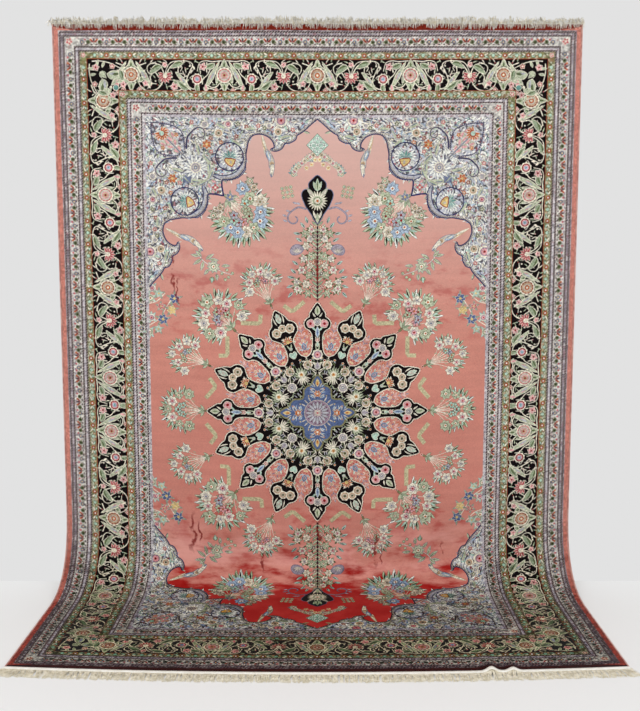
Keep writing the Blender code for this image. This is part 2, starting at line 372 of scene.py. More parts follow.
RED_RINGS = ((1.0, "cream"), (0.86, "rose"), (0.74, "ivory"), (0.50, "pink"), (0.34, "tan"),
             (0.16, "madder"))
DARK_RINGS = ((1.0, "cream"), (0.86, "brick"), (0.74, "tan"), (0.50, "ivory"), (0.34, "rust"),
              (0.16, "cream"))
BORDER_RINGS = ((1.0, "cream"), (0.80, "madder"), (0.60, "pink"), (0.38, "pale blue"), (0.16, "teal"))
FIELD_RINGS = ((1.0, "pale sage"), (0.76, "moss"), (0.62, "cream"), (0.26, "rust"))
PINK_RINGS = ((1.0, "cream"), (0.74, "mauve"), (0.56, "pink"), (0.22, "madder"))
LILAC_RINGS = ((1.0, "cream"), (0.80, "lilac"), (0.58, "ivory"), (0.36, "slate"), (0.16, "cream"))
TAN_RINGS = ((1.0, "cream"), (0.82, "tan"), (0.52, "ivory"), (0.34, "olive"), (0.16, "ink"))
BLUE_RINGS = ((1.0, "pale blue"), (0.72, "slate"), (0.54, "white"), (0.22, "rust"))
print("a bird has", len(long_tailed_bird().cuttings), "cuttings")

# %% [markdown]
# ## The main border
# On a black ground, crowned palmettes stand between pairs of long-tailed birds, with
# carnations and rosettes on a cream vine between them. The real border is one short length,
# drawn once and flipped over and over, so the tile here runs from one palmette to the next
# and is laid by turns forwards and backwards. It is 106 mm high, from its outer side at y = 0.

# %% Main border tile
TILE_LENGTH = 330.0
BORDER_HEIGHT = 106.0


def vine(tile, points, width=3.8, end_width=2.4):
    return tile.lay(ribbon(smooth_path(points, 4), width, end_width), "cream")


def small_growth(seed=12):
    """Small leaves and berries that fill the black ground before the large forms are laid."""
    bed, draw = Cartoon(), random.Random(seed)
    for row in range(5):
        for column in range(17):
            at = complex(8 + 19.4 * column + draw.uniform(-5, 5), 10 + 20.0 * row + draw.uniform(-5, 5))
            turn, silk = draw.uniform(0, 360), draw.choice(("pale sage", "cream", "cream", "sage",
                                                            "pale sage", "ivory"))
            bed.lay(leaf_loop(draw.uniform(13, 21), draw.uniform(3.0, 4.4), at, turn, draw.uniform(-7, 7),
                              3), silk)
            if draw.random() < 0.3:
                bed.lay(round_loop(2.3, at, 6), draw.choice(("rose", "madder", "pink", "celadon")))
    return bed


def border_tile():
    """Everything between one palmette and the next, without the palmettes themselves."""
    tile = Cartoon()
    tile.put(small_growth())
    vine(tile, [8 + 4j, 40 + 7j, 66 + 4j, 88 + 12j, 96 + 40j])
    vine(tile, [96 + 84j, 106 + 100j, 126 + 92j, 134 + 70j, 122 + 40j, 112 + 18j, 128 + 6j, 160 + 5j,
                188 + 10j, 204 + 30j, 210 + 54j])
    vine(tile, [134 + 70j, 146 + 98j, 172 + 106j, 190 + 98j])
    vine(tile, [210 + 56j, 224 + 26j, 250 + 12j, 272 + 24j, 270 + 44j, 256 + 52j])
    vine(tile, [210 + 58j, 228 + 92j, 252 + 106j, 286 + 104j, 302 + 84j, 306 + 62j])
    vine(tile, [210 + 56j, 190 + 24j, 168 + 12j, 150 + 26j, 156 + 40j])
    vine(tile, [48 + 30j, 60 + 52j, 76 + 66j, 78 + 84j])
    vine(tile, [30 + 102j, 50 + 98j, 62 + 100j])
    vine(tile, [12 + 70j, 26 + 90j, 46 + 94j, 60 + 82j, 56 + 66j, 46 + 66j])
    vine(tile, [140 + 8j, 158 + 18j, 164 + 40j, 156 + 60j, 142 + 60j, 140 + 48j])
    vine(tile, [232 + 62j, 246 + 44j, 262 + 60j, 258 + 80j, 240 + 84j])
    vine(tile, [276 + 12j, 300 + 22j, 318 + 42j, 312 + 58j])
    tile.put(curled_leaf(40, 19, curl=-0.35), 34 + 14j, 38)
    tile.put(curled_leaf(30, 15, curl=0.4), 96 + 84j, 74)
    tile.put(curled_leaf(46, 20, curl=-0.45), 128 + 100j, -12)
    tile.put(curled_leaf(44, 20, curl=0.5), 146 + 14j, -8)
    tile.put(curled_leaf(46, 22, curl=0.55), 222 + 24j, 2)
    tile.put(curled_leaf(34, 15, curl=-0.5), 286 + 60j, 52)
    tile.put(curled_leaf(24, 11, curl=0.5), 176 + 70j, 100)
    for foot, turn in ((88 + 34j, 236), (104 + 34j, 300), (118 + 30j, 80), (262 + 100j, 300)):
        tile.lay(leaf_loop(19, 8, foot, turn, 3, 3), "cream")
    tile.put(long_tailed_bird(), 16 + 6j, 60, 1.0)
    tile.put(long_tailed_bird(), 118 + 106j, -50, 0.84, flip=True)
    tile.put(long_tailed_bird(), 314 + 6j, 122, 1.0, flip=True)
    tile.put(rosette(19, BORDER_RINGS, 10), 97 + 66j)
    tile.put(carnation(27), 210 + 56j)
    tile.put(star_flower(14, "pink", "madder"), 76 + 24j, 20)
    tile.put(star_flower(14, "pink", "madder"), 178 + 92j, 200)
    tile.put(star_flower(11, "pink", "rose"), 279 + 82j, 40)
    tile.put(star_flower(10, "pink", "rose"), 210 + 18j, 0)
    tile.put(star_flower(8, "rose", "cream", petals=4), 30 + 103j, 0)
    tile.put(star_flower(8, "rose", "cream", petals=4), 302 + 103j, 0)
    tile.put(bud(22, "pink", leaf="pale sage"), 64 + 106j, -80)
    for at in (122 + 22j, 140 + 84j, 244 + 74j, 258 + 84j, 186 + 60j, 62 + 12j):
        tile.lay(round_loop(3.0, at, 7), "cream")
    return tile


def lay_run(cartoon, tile, place, start, step, numbers, ends):
    """Lays a tile by turns forwards and backwards along a side; `place` takes it there."""
    for number in numbers:
        left = start + step * number
        for loop, silk in tile.cuttings:
            run = loop.real * step / TILE_LENGTH + 1j * loop.imag
            run = left + run if number % 2 == 0 else left + step - run.conj()
            if ends[0] < run.real.mean() < ends[1]:
                cartoon.lay(place(run), silk)
    return cartoon


main_tile = border_tile()
print("main border tile:", len(main_tile.cuttings), "cuttings")

# %% [markdown]
# ## The guards and stripes
# Narrow guards frame the main border: cream ones with small tulips, and sage ones with ringed
# berries. Between them run lilac stripes with a dotted line on each side. Weavers call the
# whole set the frame of the rug, and count it from the field outwards, as this table does.
# The dots are left to the pile material, which breaks up the silk called dotted.

# %% Bands of the frame
FIELD_HALF_WIDTH, FIELD_HALF_LENGTH = 598.0, 1038.0
BANDS = (  # name, width in mm, ground silk
    ("inner stripe", 10.0, "lilac stripe"), ("dots", 5.2, "dotted"),
    ("inner cream guard", 32.0, "ivory ground"),
    ("dots", 5.2, "dotted"), ("stripe", 7.0, "lilac stripe"), ("dots", 5.2, "dotted"),
    ("inner sage guard", 25.0, "sage ground"), ("line", 2.2, "brick"),
    ("main border", BORDER_HEIGHT, "ink"),
    ("line", 2.2, "brick"), ("outer sage guard", 22.6, "sage ground"), ("dots", 6.2, "dotted ink"),
    ("stripe", 7.4, "lilac stripe"), ("dots", 6.2, "dotted ink"),
    ("outer cream guard", 31.8, "ivory ground"),
    ("dots", 6.2, "dotted ink"), ("stripe", 6.2, "mauve stripe"), ("dots", 6.2, "dotted ink"),
    ("outer stripe", 3.4, "mauve stripe"),
)
EDGE_SILKS = ("edge brick", "coral")  # at the ends and along the sides


def band_edges():
    """Distance of each band's inner and outer side from the field's edge."""
    edges, start = [], 0.0
    for name, width, silk in BANDS:
        edges.append((name, start, start + width, silk))
        start += width
    return edges, start


band_rows, frame_width = band_edges()
HALF_WIDTH = 1000.0 * (0.5 * RUG_WIDTH - 2.0 * CORD_RADIUS - PIECE_GAP)
HALF_LENGTH = 1000.0 * 0.5 * RUG_LENGTH
print("frame", frame_width, "mm; edge band", round(HALF_WIDTH - FIELD_HALF_WIDTH - frame_width, 1))

# %% Guard tiles
CREAM_PITCH, SAGE_PITCH = 84.0, 82.0


def cream_tile(height):
    """A tulip between berries and small blossoms; y runs outwards from the field's side."""
    tile, half = Cartoon(), 0.5 * CREAM_PITCH
    for number in range(10):
        x = CREAM_PITCH * (number - 4.5) / 10.0
        tile.lay(leaf_loop(10, 4, x + 0.10j * height, 24 if number % 2 else 156, steps=2), "umber")
        tile.lay(leaf_loop(9, 4, x + 3 + 0.90j * height, 200 if number % 2 else 330, steps=2), "mauve")
    tile.lay(leaf_loop(11, 5, 0.50j * height, -90, steps=2), "moss")
    for turn in (38, 90, 142):
        tile.lay(leaf_loop(16, 7, 0.38j * height, turn, steps=3), "plum" if turn == 90 else "madder",
                 "ivory", 1.0)
    for x, silk, heart in ((20, "moss", "ink"), (-20, "moss", "ink"), (half, "slate", "gold")):
        tile.lay(round_loop(6.2, x + 0.44j * height, 8), silk, "umber", 1.2)
        tile.lay(round_loop(3.0, x + 0.44j * height, 6), heart)
    for x, silk in ((11, "rust"), (-11, "rust"), (31, "rose"), (-31, "rose")):
        tile.lay(petal_loop(4.2, 4, 0.2, x + 0.70j * height, steps=2), silk)
        tile.lay(leaf_loop(11, 4, x + 0.24j * height, 60, steps=2), "olive")
    return tile


def sage_tile(height):
    """A ringed berry between split leaves, with a pale drop halfway to the next."""
    tile, middle = Cartoon(), 0.5j * height
    for side in (-1.0, 1.0):
        for turn, at, silk in ((28, 9, "cream"), (-32, 11, "celadon"), (32, 24, "pale sage")):
            angle = turn if side > 0 else 180.0 - turn
            tile.lay(leaf_loop(17, 6.0, side * at + middle, angle, steps=3), silk, "umber", 0.9)
        tile.lay(petal_loop(4.0, 4, 0.2, side * 31 + 0.28j * height, steps=2), "tan")
        tile.lay(round_loop(2.4, side * 21 + 0.16j * height, 5), "moss")
    tile.lay(petal_loop(6.0, 4, 0.2, 0.5 * SAGE_PITCH + middle, steps=3), "celadon", "moss", 1.2)
    tile.lay(round_loop(9.2, middle, 10), "umber")
    tile.lay(round_loop(7.6, middle, 9), "brick", "gold", 0.9)
    return tile.lay(round_loop(3.2, middle, 6), "white")


def corner_bed():
    """The bed of pale blossoms that fills a corner of the main border, drawn along +x."""
    bed = Cartoon()
    for side in (-1.0, 1.0):
        bed.lay(ribbon(smooth_path([-58 + 6j * side, -40 + 26j * side, -14 + 44j * side, 18 + 56j * side,
                                    50 + 62j * side, 76 + 46j * side], 3), 3.6, 2.4), "cream")
        bed.put(curled_leaf(50, 30, "pale sage", vein="silver", curl=0.3 * side), 10 + 12j * side,
                30 * side)
        bed.lay(leaf_loop(26, 7, 22 + 24j * side, 40 * side, 5 * side, 3), "moss", "ink", 1.2)
        bed.put(curled_leaf(40, 18, curl=-0.5 * side), 30 + 52j * side, -10 * side)
        bed.put(star_flower(12, "pink", "madder"), 74 + 26j * side)
        bed.put(star_flower(10, "rose", "cream"), 4 + 44j * side)
        for at, turn in ((36 + 30j, 10), (52 + 14j, 60), (-18 + 16j, 120), (-34 + 6j, 130), (64 + 40j, 20)):
            bed.lay(leaf_loop(24, 8, at.real + 1j * side * at.imag, turn * side, 3), "pale sage", "cream",
                    1.2)
    bed.put(star_flower(13, "pink", "madder"), -34)
    bed.lay(round_loop(9, 64, 9), "teal", "cream", 2.0)
    return bed.put(bud(30, "pale sage"), -12)


def lay_frame(cartoon):
    """Draws the bands of one quarter of the rug, from the outer edge inwards, then their tiles."""
    outer_x, outer_y = HALF_WIDTH, HALF_LENGTH
    cartoon.lay(box_loop(-20 - 20j, complex(outer_x, outer_y)), EDGE_SILKS[0])
    side = np.array([complex(FIELD_HALF_WIDTH, 0), outer_x, complex(outer_x, outer_y - 9.0),
                     complex(FIELD_HALF_WIDTH, outer_y - 60.0)])
    cartoon.lay(side, EDGE_SILKS[1])
    for name, inner, outer, silk in reversed(band_rows):
        corner = complex(FIELD_HALF_WIDTH + outer, FIELD_HALF_LENGTH + outer)
        cartoon.lay(box_loop(-20 - 20j, corner), silk)
        if name == "main border":
            lay_main_border(cartoon, inner, outer)
        elif "cream guard" in name:
            lay_guard(cartoon, cream_tile(outer - inner), CREAM_PITCH, inner, outer)
        elif "sage guard" in name:
            lay_guard(cartoon, sage_tile(outer - inner), SAGE_PITCH, inner, outer)
    return cartoon


def on_end(loop):
    """From the border's own axes, x along it and y in from its outer side, to the rug's end."""
    return loop.conj() + 1j * main_border_edge(FIELD_HALF_LENGTH)


def on_side(loop):
    """The same for the rug's long side."""
    return 1j * loop + main_border_edge(FIELD_HALF_WIDTH)


def main_border_edge(field_half):
    return field_half + next(row[2] for row in band_rows if row[0] == "main border")


def lay_guard(cartoon, tile, pitch, inner, outer):
    """Repeats a guard's tile along the end and the side, and closes its corner."""
    middle = 0.5 * (inner + outer)
    for length, offset in ((FIELD_HALF_WIDTH, FIELD_HALF_LENGTH), (FIELD_HALF_LENGTH, FIELD_HALF_WIDTH)):
        count = round((length + middle) / pitch)
        fit = (length + middle) / count
        for number in range(count):
            for loop, silk in tile.cuttings:
                run = loop + number * fit + 1j * (offset + inner)
                cartoon.lay(run if length == FIELD_HALF_WIDTH else 1j * run.conj(), silk)
    corner = complex(FIELD_HALF_WIDTH + middle, FIELD_HALF_LENGTH + middle)
    return cartoon.put(star_flower(0.4 * (outer - inner), "rose", "cream"), corner, -45)


END_STEP, SIDE_FIRST, SIDE_STEP = 322.0, 99.0, 331.0


def lay_main_border(cartoon, inner, outer):
    """Palmettes and tiles along the end and the side of the quarter, and the corner bed."""
    end_limit, side_limit = FIELD_HALF_WIDTH + inner + 8, FIELD_HALF_LENGTH + inner + 8
    lay_run(cartoon, main_tile, on_end, -END_STEP, END_STEP, (0, 1, 2, 3), (-70, end_limit))
    lay_run(cartoon, main_tile, on_side, SIDE_FIRST, SIDE_STEP, (-1, 0, 1, 2, 3), (-24, side_limit))
    for number, rings in enumerate((DARK_RINGS, RED_RINGS, DARK_RINGS)):
        for loop, silk in palmette(BORDER_HEIGHT, rings).cuttings:
            cartoon.lay(on_end(loop + number * END_STEP), silk)
    for number, rings in enumerate((RED_RINGS, DARK_RINGS, RED_RINGS, DARK_RINGS)):
        for loop, silk in palmette(BORDER_HEIGHT, rings).cuttings:
            cartoon.lay(on_side(loop + SIDE_FIRST + number * SIDE_STEP), silk)
    middle = 0.5 * (inner + outer)
    corner = complex(FIELD_HALF_WIDTH + middle, FIELD_HALF_LENGTH + middle)
    return cartoon.put(corner_bed(), corner, 225)


# %% [markdown]
# ## The corners of the field
# Each corner is a silver ground with a feathered navy edge that swings in cusps and hooks
# from the middle of the end to the side. It is the same on both sides of its diagonal, so
# half of it is drawn, from the corner, and laid again with its two directions exchanged.

# %% Corner cartoon
CORNER_EDGE = (  # from the point on the middle line to the tab on the diagonal, in mm
    598 + 2j, 576 + 20j, 555 + 39j, 539 + 51j, 527 + 58j, 521 + 73j, 501 + 84j, 485 + 86j, 474 + 103j,
    454 + 112j, 434 + 108j, 447 + 100j, 445 + 84j, 432 + 67j, 413 + 57j, 392 + 54j, 371 + 60j, 358 + 77j,
    353 + 96j, 348 + 122j, 348 + 149j, 340 + 178j, 318 + 201j, 292 + 211j, 266 + 213j, 263 + 231j,
    265 + 248j, 269 + 269j)


def exchanged(loop):
    """The loop with its two directions exchanged, which flips it over the diagonal."""
    return loop.imag + 1j * loop.real


def both_ways(half):
    """A cartoon of one side of the diagonal, laid on both."""
    whole = Cartoon()
    for loop, silk in half.cuttings:
        whole.lay(loop, silk)
        whole.lay(exchanged(loop), silk)
    return whole


def feathers(path, silk, length, pitch, lean, width=3.4):
    """Small slanting barbs along a path, on its left side."""
    barbs, way = Cartoon(), np.append(0.0, np.cumsum(abs(np.diff(path))))
    for at in np.arange(pitch, way[-1], pitch):
        foot = complex(np.interp(at, way, path.real), np.interp(at, way, path.imag))
        nose = complex(np.interp(at + 2, way, path.real), np.interp(at + 2, way, path.imag))
        turn = math.degrees(np.angle(nose - foot + 1e-6)) + lean
        barbs.lay(leaf_loop(length, width, foot, turn, steps=2), silk)
    return barbs


def roundel():
    """The teal palmette in its round navy frame, opening towards the lower left."""
    disc = Cartoon()
    disc.lay(round_loop(47, points=20), "silver ground", "navy", 4.0)
    for number in range(17):
        turn = 90.0 + 17.0 * (number - 8)
        disc.lay(leaf_loop(43, 8, turn=turn, steps=3), "white", "slate", 0.9)
        disc.lay(leaf_loop(27, 7, turn=turn, steps=2), "celadon" if number % 2 else "teal")
    disc.lay(closed_path([-13 + 4j, 14j + 17, 17 + 14j, 34j, -17 + 14j], 2), "gold", "madder", 3.2)
    disc.lay(leaf_loop(15, 9, 12j, 90, steps=3), "ivory")
    return disc.lay(leaf_loop(24, 9, 0, -90, steps=3), "teal", "ivory", 1.6)


def leaf_bed(draw, inside, silks, pitch, length, width):
    """Small leaves scattered on a ground, turned every way."""
    bed = Cartoon()
    for row in np.arange(0.0, 610.0, pitch):
        for column in np.arange(0.0, 620.0, pitch):
            at = complex(column + draw.uniform(-0.4, 0.4) * pitch, row + draw.uniform(-0.4, 0.4) * pitch)
            turn, silk = draw.uniform(0, 360), draw.choice(silks)
            size = draw.uniform(0.7, 1.25)
            if at.real >= at.imag and inside(at):
                shadow = draw.choice(("slate", "navy", "umber"))
                bed.lay(leaf_loop(length * size, width * size, at - 2.2j, turn, steps=2), shadow)
                bed.lay(leaf_loop(length * size, width * size, at, turn, steps=2), silk)
    return bed


def point_inside(loop, at):
    """Whether a point lies inside a closed loop, by counting the sides that it sees."""
    x, y, nx, ny = loop.real, loop.imag, np.roll(loop.real, -1), np.roll(loop.imag, -1)
    crossing = (y > at.imag) != (ny > at.imag)
    where = x + (at.imag - y) / np.where(ny == y, 1e-9, ny - y) * (nx - x)
    return bool(np.sum(crossing & (at.real < where)) % 2)


def corner_cartoon():
    edge = smooth_path(CORNER_EDGE, 3)
    ground = np.concatenate(([0.0, 598.0], edge, exchanged(edge)[::-1], [598j]))
    draw = random.Random(5)
    half = Cartoon()
    half.put(leaf_bed(draw, lambda at: point_inside(ground, at),
                      ("white", "cream", "white", "pale sage", "white", "cream", "celadon", "white",
                       "pale blue"),
                      11.2, 22, 6.4))
    for at, silk in ((160 + 16j, "rose"), (226 + 70j, "madder"), (262 + 84j, "rust"), (316 + 63j, "madder"),
                     (351 + 30j, "madder"), (392 + 26j, "rose"), (512 + 40j, "rose"), (240 + 140j, "mauve"),
                     (322 + 20j, "moss"), (414 + 34j, "moss"), (226 + 116j, "rose"), (186 + 104j, "rust")):
        half.put(star_flower(9, silk, "cream", "ivory"), at, at.real)
    for at, radius, rings in ((254 + 52j, 15, TAN_RINGS), (287 + 21j, 14, PINK_RINGS),
                              (294 + 62j, 8, BLUE_RINGS),
                              (340 + 62j, 8, BLUE_RINGS), (472 + 8j, 22, PINK_RINGS),
                              (461 + 46j, 14, TAN_RINGS),
                              (206 + 22j, 12, LILAC_RINGS), (430 + 26j, 9, LILAC_RINGS)):
        half.put(rosette(radius, rings), at)
    for at, turn, length in ((215 + 150j, 70, 44), (196 + 128j, 30, 46), (232 + 176j, 100, 42),
                             (176 + 90j, 60, 40),
                             (330 + 96j, 200, 34), (382 + 36j, 160, 34), (504 + 60j, 150, 34),
                             (246 + 20j, 10, 34)):
        half.put(curled_leaf(length, 13, "pale sage", "ivory", "slate", 0.35), at, turn)
    half.put(star_flower(17, "rust", "gold", "ivory", 6), 212 + 91j)
    spiral = np.concatenate((smooth_path([140 + 108j, 141 + 84j, 147 + 62j, 166 + 42j], 3),
                             spiral_path(188 + 56j, 26, 7, 218, 330, 12)))
    half.lay(ribbon(spiral, 4.6, 2.4), "navy", "ivory", 2.2)
    half.put(feathers(spiral[:12], "navy", 9, 6, 150))
    frame_edge = smooth_path([22 + 22j, 48 + 22j, 76 + 26j, 104 + 34j, 124 + 52j, 131 + 80j, 133 + 112j], 3)
    kite = np.concatenate((frame_edge, exchanged(frame_edge)[::-1]))
    half.lay(ribbon(frame_edge, 5.0, 4.0), "navy", "ivory", 2.4)
    half.put(feathers(frame_edge[::-1], "navy", 10, 6.5, 40))
    whole = Cartoon().lay(ground, "silver ground")
    whole.put(both_ways(half))
    whole.lay(kite, "silver ground")
    inner = Cartoon()
    for _ in range(26):
        at = complex(draw.uniform(34, 124), draw.uniform(30, 124))
        if at.real >= at.imag and point_inside(kite, at):
            inner.lay(leaf_loop(20, 6, at, draw.uniform(0, 360), steps=2), "white", "slate", 1.0)
    for at, turn in ((60 + 38j, 20), (88 + 50j, 60), (100 + 74j, 80), (76 + 66j, 45), (112 + 96j, 70)):
        inner.put(bud(24, "pink", "ivory", "pale sage"), at, turn)
    inner.put(star_flower(9, "rust", "gold", "ivory"), 106 + 60j)
    whole.put(both_ways(inner))
    whole.lay(ribbon(np.array([60 + 60j, 168 + 168j]), 3.4), "slate", "ivory", 2.4)
    whole.put(carnation(26, "rust", "celadon", 11, 260), 56 + 56j, -45)
    for turn in range(0, 360, 24):
        whole.lay(leaf_loop(46, 13, 172 + 172j, turn, 10, 4), "white", "slate", 1.3)
        whole.lay(leaf_loop(30, 4, 172 + 172j, turn, 6, 3), "lilac")
    whole.put(rosette(20, LILAC_RINGS, 10), 172 + 172j)
    swirl = Cartoon()
    swirl.lay(closed_path([230 + 196j, 262 + 200j, 300 + 194j, 326 + 172j, 340 + 140j, 346 + 176j,
                           320 + 204j,
                           290 + 213j, 266 + 215j], 2), "silver", "navy", 3.0)
    swirl.put(feathers(smooth_path([250 + 208j, 296 + 206j, 330 + 180j, 343 + 146j], 6), "ivory", 15, 8,
                       60))
    swirl.put(roundel(), 291 + 133j, -12, flip=False)
    whole.put(both_ways(swirl))
    whole.put(star_flower(14, "rose", "cream", "ivory", 4), 240 + 240j, 0)
    for at, turn in ((226 + 214j, 30), (214 + 226j, 60), (250 + 228j, 20), (228 + 250j, 70)):
        whole.put(bud(20, "pink", "ivory"), at, turn)
    whole.lay(ribbon(np.concatenate((edge, exchanged(edge)[-2::-1])), 5.6), "navy")
    barbs = Cartoon().put(feathers(edge[:75][::-1], "ivory", 15, 6.4, -34, 4.2))
    barbs.put(feathers(edge[:75][::-1], "navy", 8, 6.4, -58, 2.6))
    return whole.put(both_ways(barbs))


corner_bed_cartoon = corner_cartoon()
print("corner:", len(corner_bed_cartoon.cuttings), "cuttings")

# %% [markdown]
# ## The medallion
# The medallion is a star of sixteen lobes around a blue four-lobed centre. Lobes of two kinds
# take turns, and salmon bays run in between them. It would be one short piece of a weaver's
# cartoon, turned round and round; here too a lobe of each kind is drawn once, pointing along
# +x, and put at its angles. Only the angles that touch the first quarter are needed.

# %% Medallion cartoon
def both_sides(right):
    """A closed outline from its points on one side of the x axis, from foot to tip."""
    right = np.asarray(right, complex)
    outline = np.concatenate((right.conj(), right[::-1]))
    return closed_path(outline[abs(outline - np.roll(outline, 1)) > 0.5], 3)


LEAF_LOBE = (196 + 38j, 214 + 24j, 240 + 17j, 280 + 18j, 298 + 28j, 307 + 42j, 324 + 47j, 338 + 39j,
             346 + 28j,
             359 + 27j, 375 + 16j, 396)
FLOWER_LOBE = (196 + 40j, 214 + 25j, 240 + 17j, 274 + 19j, 290 + 32j, 304 + 48j, 324 + 51j, 338 + 43j,
               348 + 30j, 363 + 25j, 379 + 15j, 396)


def thorns(right_half):
    """Small dark thorns round the outer part of a lobe."""
    outline, growth = both_sides(right_half), Cartoon()
    for lean in (-62, 62):
        growth.put(feathers(outline[abs(outline) > 252], "plum", 8, 9.5, lean, 2.6))
    return growth


def leaf_lobe():
    """Leaf head, pink trefoil with dark eyes and a pale-blue stem, on black."""
    lobe = Cartoon().lay(both_sides(LEAF_LOBE), "ink", "cream", 3.0)
    lobe.lay(leaf_loop(33, 17, 352, 0, steps=5), "pale sage", "cream", 1.4)
    lobe.lay(leaf_loop(22, 4, 357, 0, steps=3), "moss")
    for side in (-1.0, 1.0):
        lobe.lay(leaf_loop(20, 6, 345 + 6j * side, 44 * side, -3 * side), "cream")
        lobe.lay(leaf_loop(16, 5, 304 + 10j * side, 52 * side, 3 * side), "cream")
        lobe.lay(petal_loop(15, 5, 0.2, 322 + 23j * side), "pink", "cream", 1.8)
        lobe.lay(round_loop(5.5, 322 + 25j * side, 7), "madder")
        lobe.lay(leaf_loop(24, 7, 296 + 3j * side, 58 * side, -4 * side), "celadon")
        lobe.lay(leaf_loop(26, 5, 252 + 2j * side, 12 * side), "cream")
        lobe.lay(leaf_loop(20, 4, 226 + 3j * side, 14 * side), "pale sage")
    lobe.put(rosette(14, LILAC_RINGS, 8), 328)
    lobe.lay(leaf_loop(40, 14, 272), "pale blue", "cream", 1.4)
    lobe.lay(leaf_loop(26, 4, 278), "denim")
    lobe.put(star_flower(8, "rose", "cream"), 264, 18)
    lobe.put(bud(18, "celadon", leaf="sage"), 240)
    lobe.put(rosette(19, PINK_RINGS, 8), 211)
    return lobe.put(star_flower(9, "rose", "madder", "pink"), 211)


def flower_lobe():
    """White-green bud head and three tan flowers above an orange one, on black."""
    lobe = Cartoon().lay(both_sides(FLOWER_LOBE), "ink", "cream", 3.0)
    lobe.lay(leaf_loop(38, 17, 347, steps=5), "celadon", "cream", 1.6)
    for bend in (-5, 0, 5):
        lobe.lay(leaf_loop(34, 4, 350, bend * 2, bend, 4), "ivory")
    for side in (-1.0, 1.0):
        lobe.lay(leaf_loop(34, 5, 343 + 12j * side, 22 * side, -9 * side, 4), "cream")
        lobe.put(rosette(17, TAN_RINGS, 7), 319 + 25j * side)
        lobe.lay(leaf_loop(18, 4.5, 286 + 3j * side, 62 * side, 3 * side), "cream")
        lobe.lay(leaf_loop(22, 4.5, 276 + 2j * side, 40 * side, 3 * side), "cream")
        lobe.lay(leaf_loop(20, 5, 248 + 2j * side, 20 * side), "pale sage")
    lobe.put(rosette(14, TAN_RINGS, 7), 328)
    lobe.put(carnation(20, "rust", "gold", 7, 200), 276, -90)
    lobe.lay(round_loop(5, 249, 8), "ivory", "celadon", 1.6)
    lobe.lay(closed_path([212, 226 + 13j, 236 + 8j, 232, 236 - 8j, 226 - 13j], 3), "celadon", "cream", 1.6)
    return lobe


def bay():
    """A salmon bay between two lobes, with its blue palmette and scrolls, open outwards."""
    inlet = Cartoon()
    for radius, silk in ((45, "cream"), (43, "ink"), (36, "cream"), (34, "salmon")):
        inlet.lay(round_loop(radius, 240, 24), silk)
    inlet.lay(np.array([236 - 33j, 262 - 46j, 345 - 46j, 345 + 46j, 262 + 46j, 236 + 33j]), "salmon")
    for side in (-1.0, 1.0):
        for at, radius, start, sweep, silk in ((224 + 13j, 9, -100, 320, "madder"),
                                               (241 + 23j, 8, -150, 330, "cream"),
                                               (258 + 20j, 9, -60, 300, "rose"),
                                               (276 + 15j, 7, -120, 300, "cream"),
                                               (292 + 14j, 6, -60, 280, "rust")):
            centre = complex(at.real, side * at.imag)
            inlet.lay(ribbon(spiral_path(centre, radius, 2.5, start * side, sweep * side, 9), 2.6, 1.6),
                      silk)
        for at, turn, length, silk in ((230 + 5j, 62, 15, "pale blue"), (250 + 7j, 40, 14, "celadon"),
                                       (246 + 30j, 100, 10, "sage"), (264 + 28j, 20, 13, "pale sage"),
                                       (270 + 5j, 34, 13, "mauve"), (284 + 6j, 34, 13, "pink"),
                                       (300 + 4j, 30, 13, "mauve"), (314 + 3j, 30, 11, "pink"),
                                       (288 + 24j, 60, 10, "madder"), (303 + 20j, 50, 9, "mauve")):
            foot = complex(at.real, side * at.imag)
            inlet.lay(leaf_loop(length, 4.6, foot, turn * side), silk,
                      "cream" if silk != "mauve" else None, 1.0)
        for at, silk in ((236 + 27j, "rust"), (262 + 12j, "rose"), (218 + 4j, "gold"), (280 + 24j, "rust")):
            inlet.lay(round_loop(2.8, complex(at.real, side * at.imag), 6), silk, "cream", 1.0)
    inlet.lay(leaf_loop(26, 17, 232), "denim", "pale blue", 2.0)
    inlet.lay(leaf_loop(17, 8, 236), "mauve", "cream", 1.0)
    inlet.put(star_flower(6, "rust", "cream"), 266)
    for at in (280, 294, 308, 322):
        inlet.lay(leaf_loop(13, 4.6, at), "mauve" if at % 4 else "pink", "cream", 0.8)
    return inlet


def ring_growth():
    """White twigs and small leaves that fill the black ring of the medallion, in one sector."""
    bed, draw = Cartoon(), random.Random(2)
    for radius in np.arange(66.0, 200.0, 12.5):
        count = max(1, round(radius * math.radians(11.25) / 11.0))
        for number in range(count):
            turn = 11.25 * (number + 0.5) / count + draw.uniform(-1.2, 1.2)
            lean, length = draw.uniform(-75, 75), draw.uniform(13, 22)
            silk = draw.choice(("cream", "ivory", "pale sage", "sage", "moss", "silver"))
            for side in (-1.0, 1.0):
                at = radius * np.exp(1j * math.radians(side * turn))
                bed.lay(leaf_loop(length, 3.4, at, side * (turn + lean), 3 * side, 3), silk)
    return bed


def shell():
    """Leaf-fan with a small heart, on the ring between the flowers, and rays towards the centre."""
    fan = Cartoon()
    for turn in (-66, -44, -22, 0, 22, 44, 66):
        fan.lay(leaf_loop(34 - abs(turn) * 0.1, 10, 144, turn), "pale sage", "ink", 1.6)
    for turn in (130, 146, 163, 180, 197, 214, 230):
        fan.lay(leaf_loop(36, 5, 146, turn, steps=3), "cream")
    fan.lay(round_loop(12, 150, 9), "cream", "pale sage", 1.6)
    return fan.put(star_flower(6, "rust", "madder", "gold"), 150)


CENTRE_EDGE = (134j, 14 + 117j, 20 + 99j, 35 + 94j, 46 + 82j, 46 + 68j, 51 + 51j)


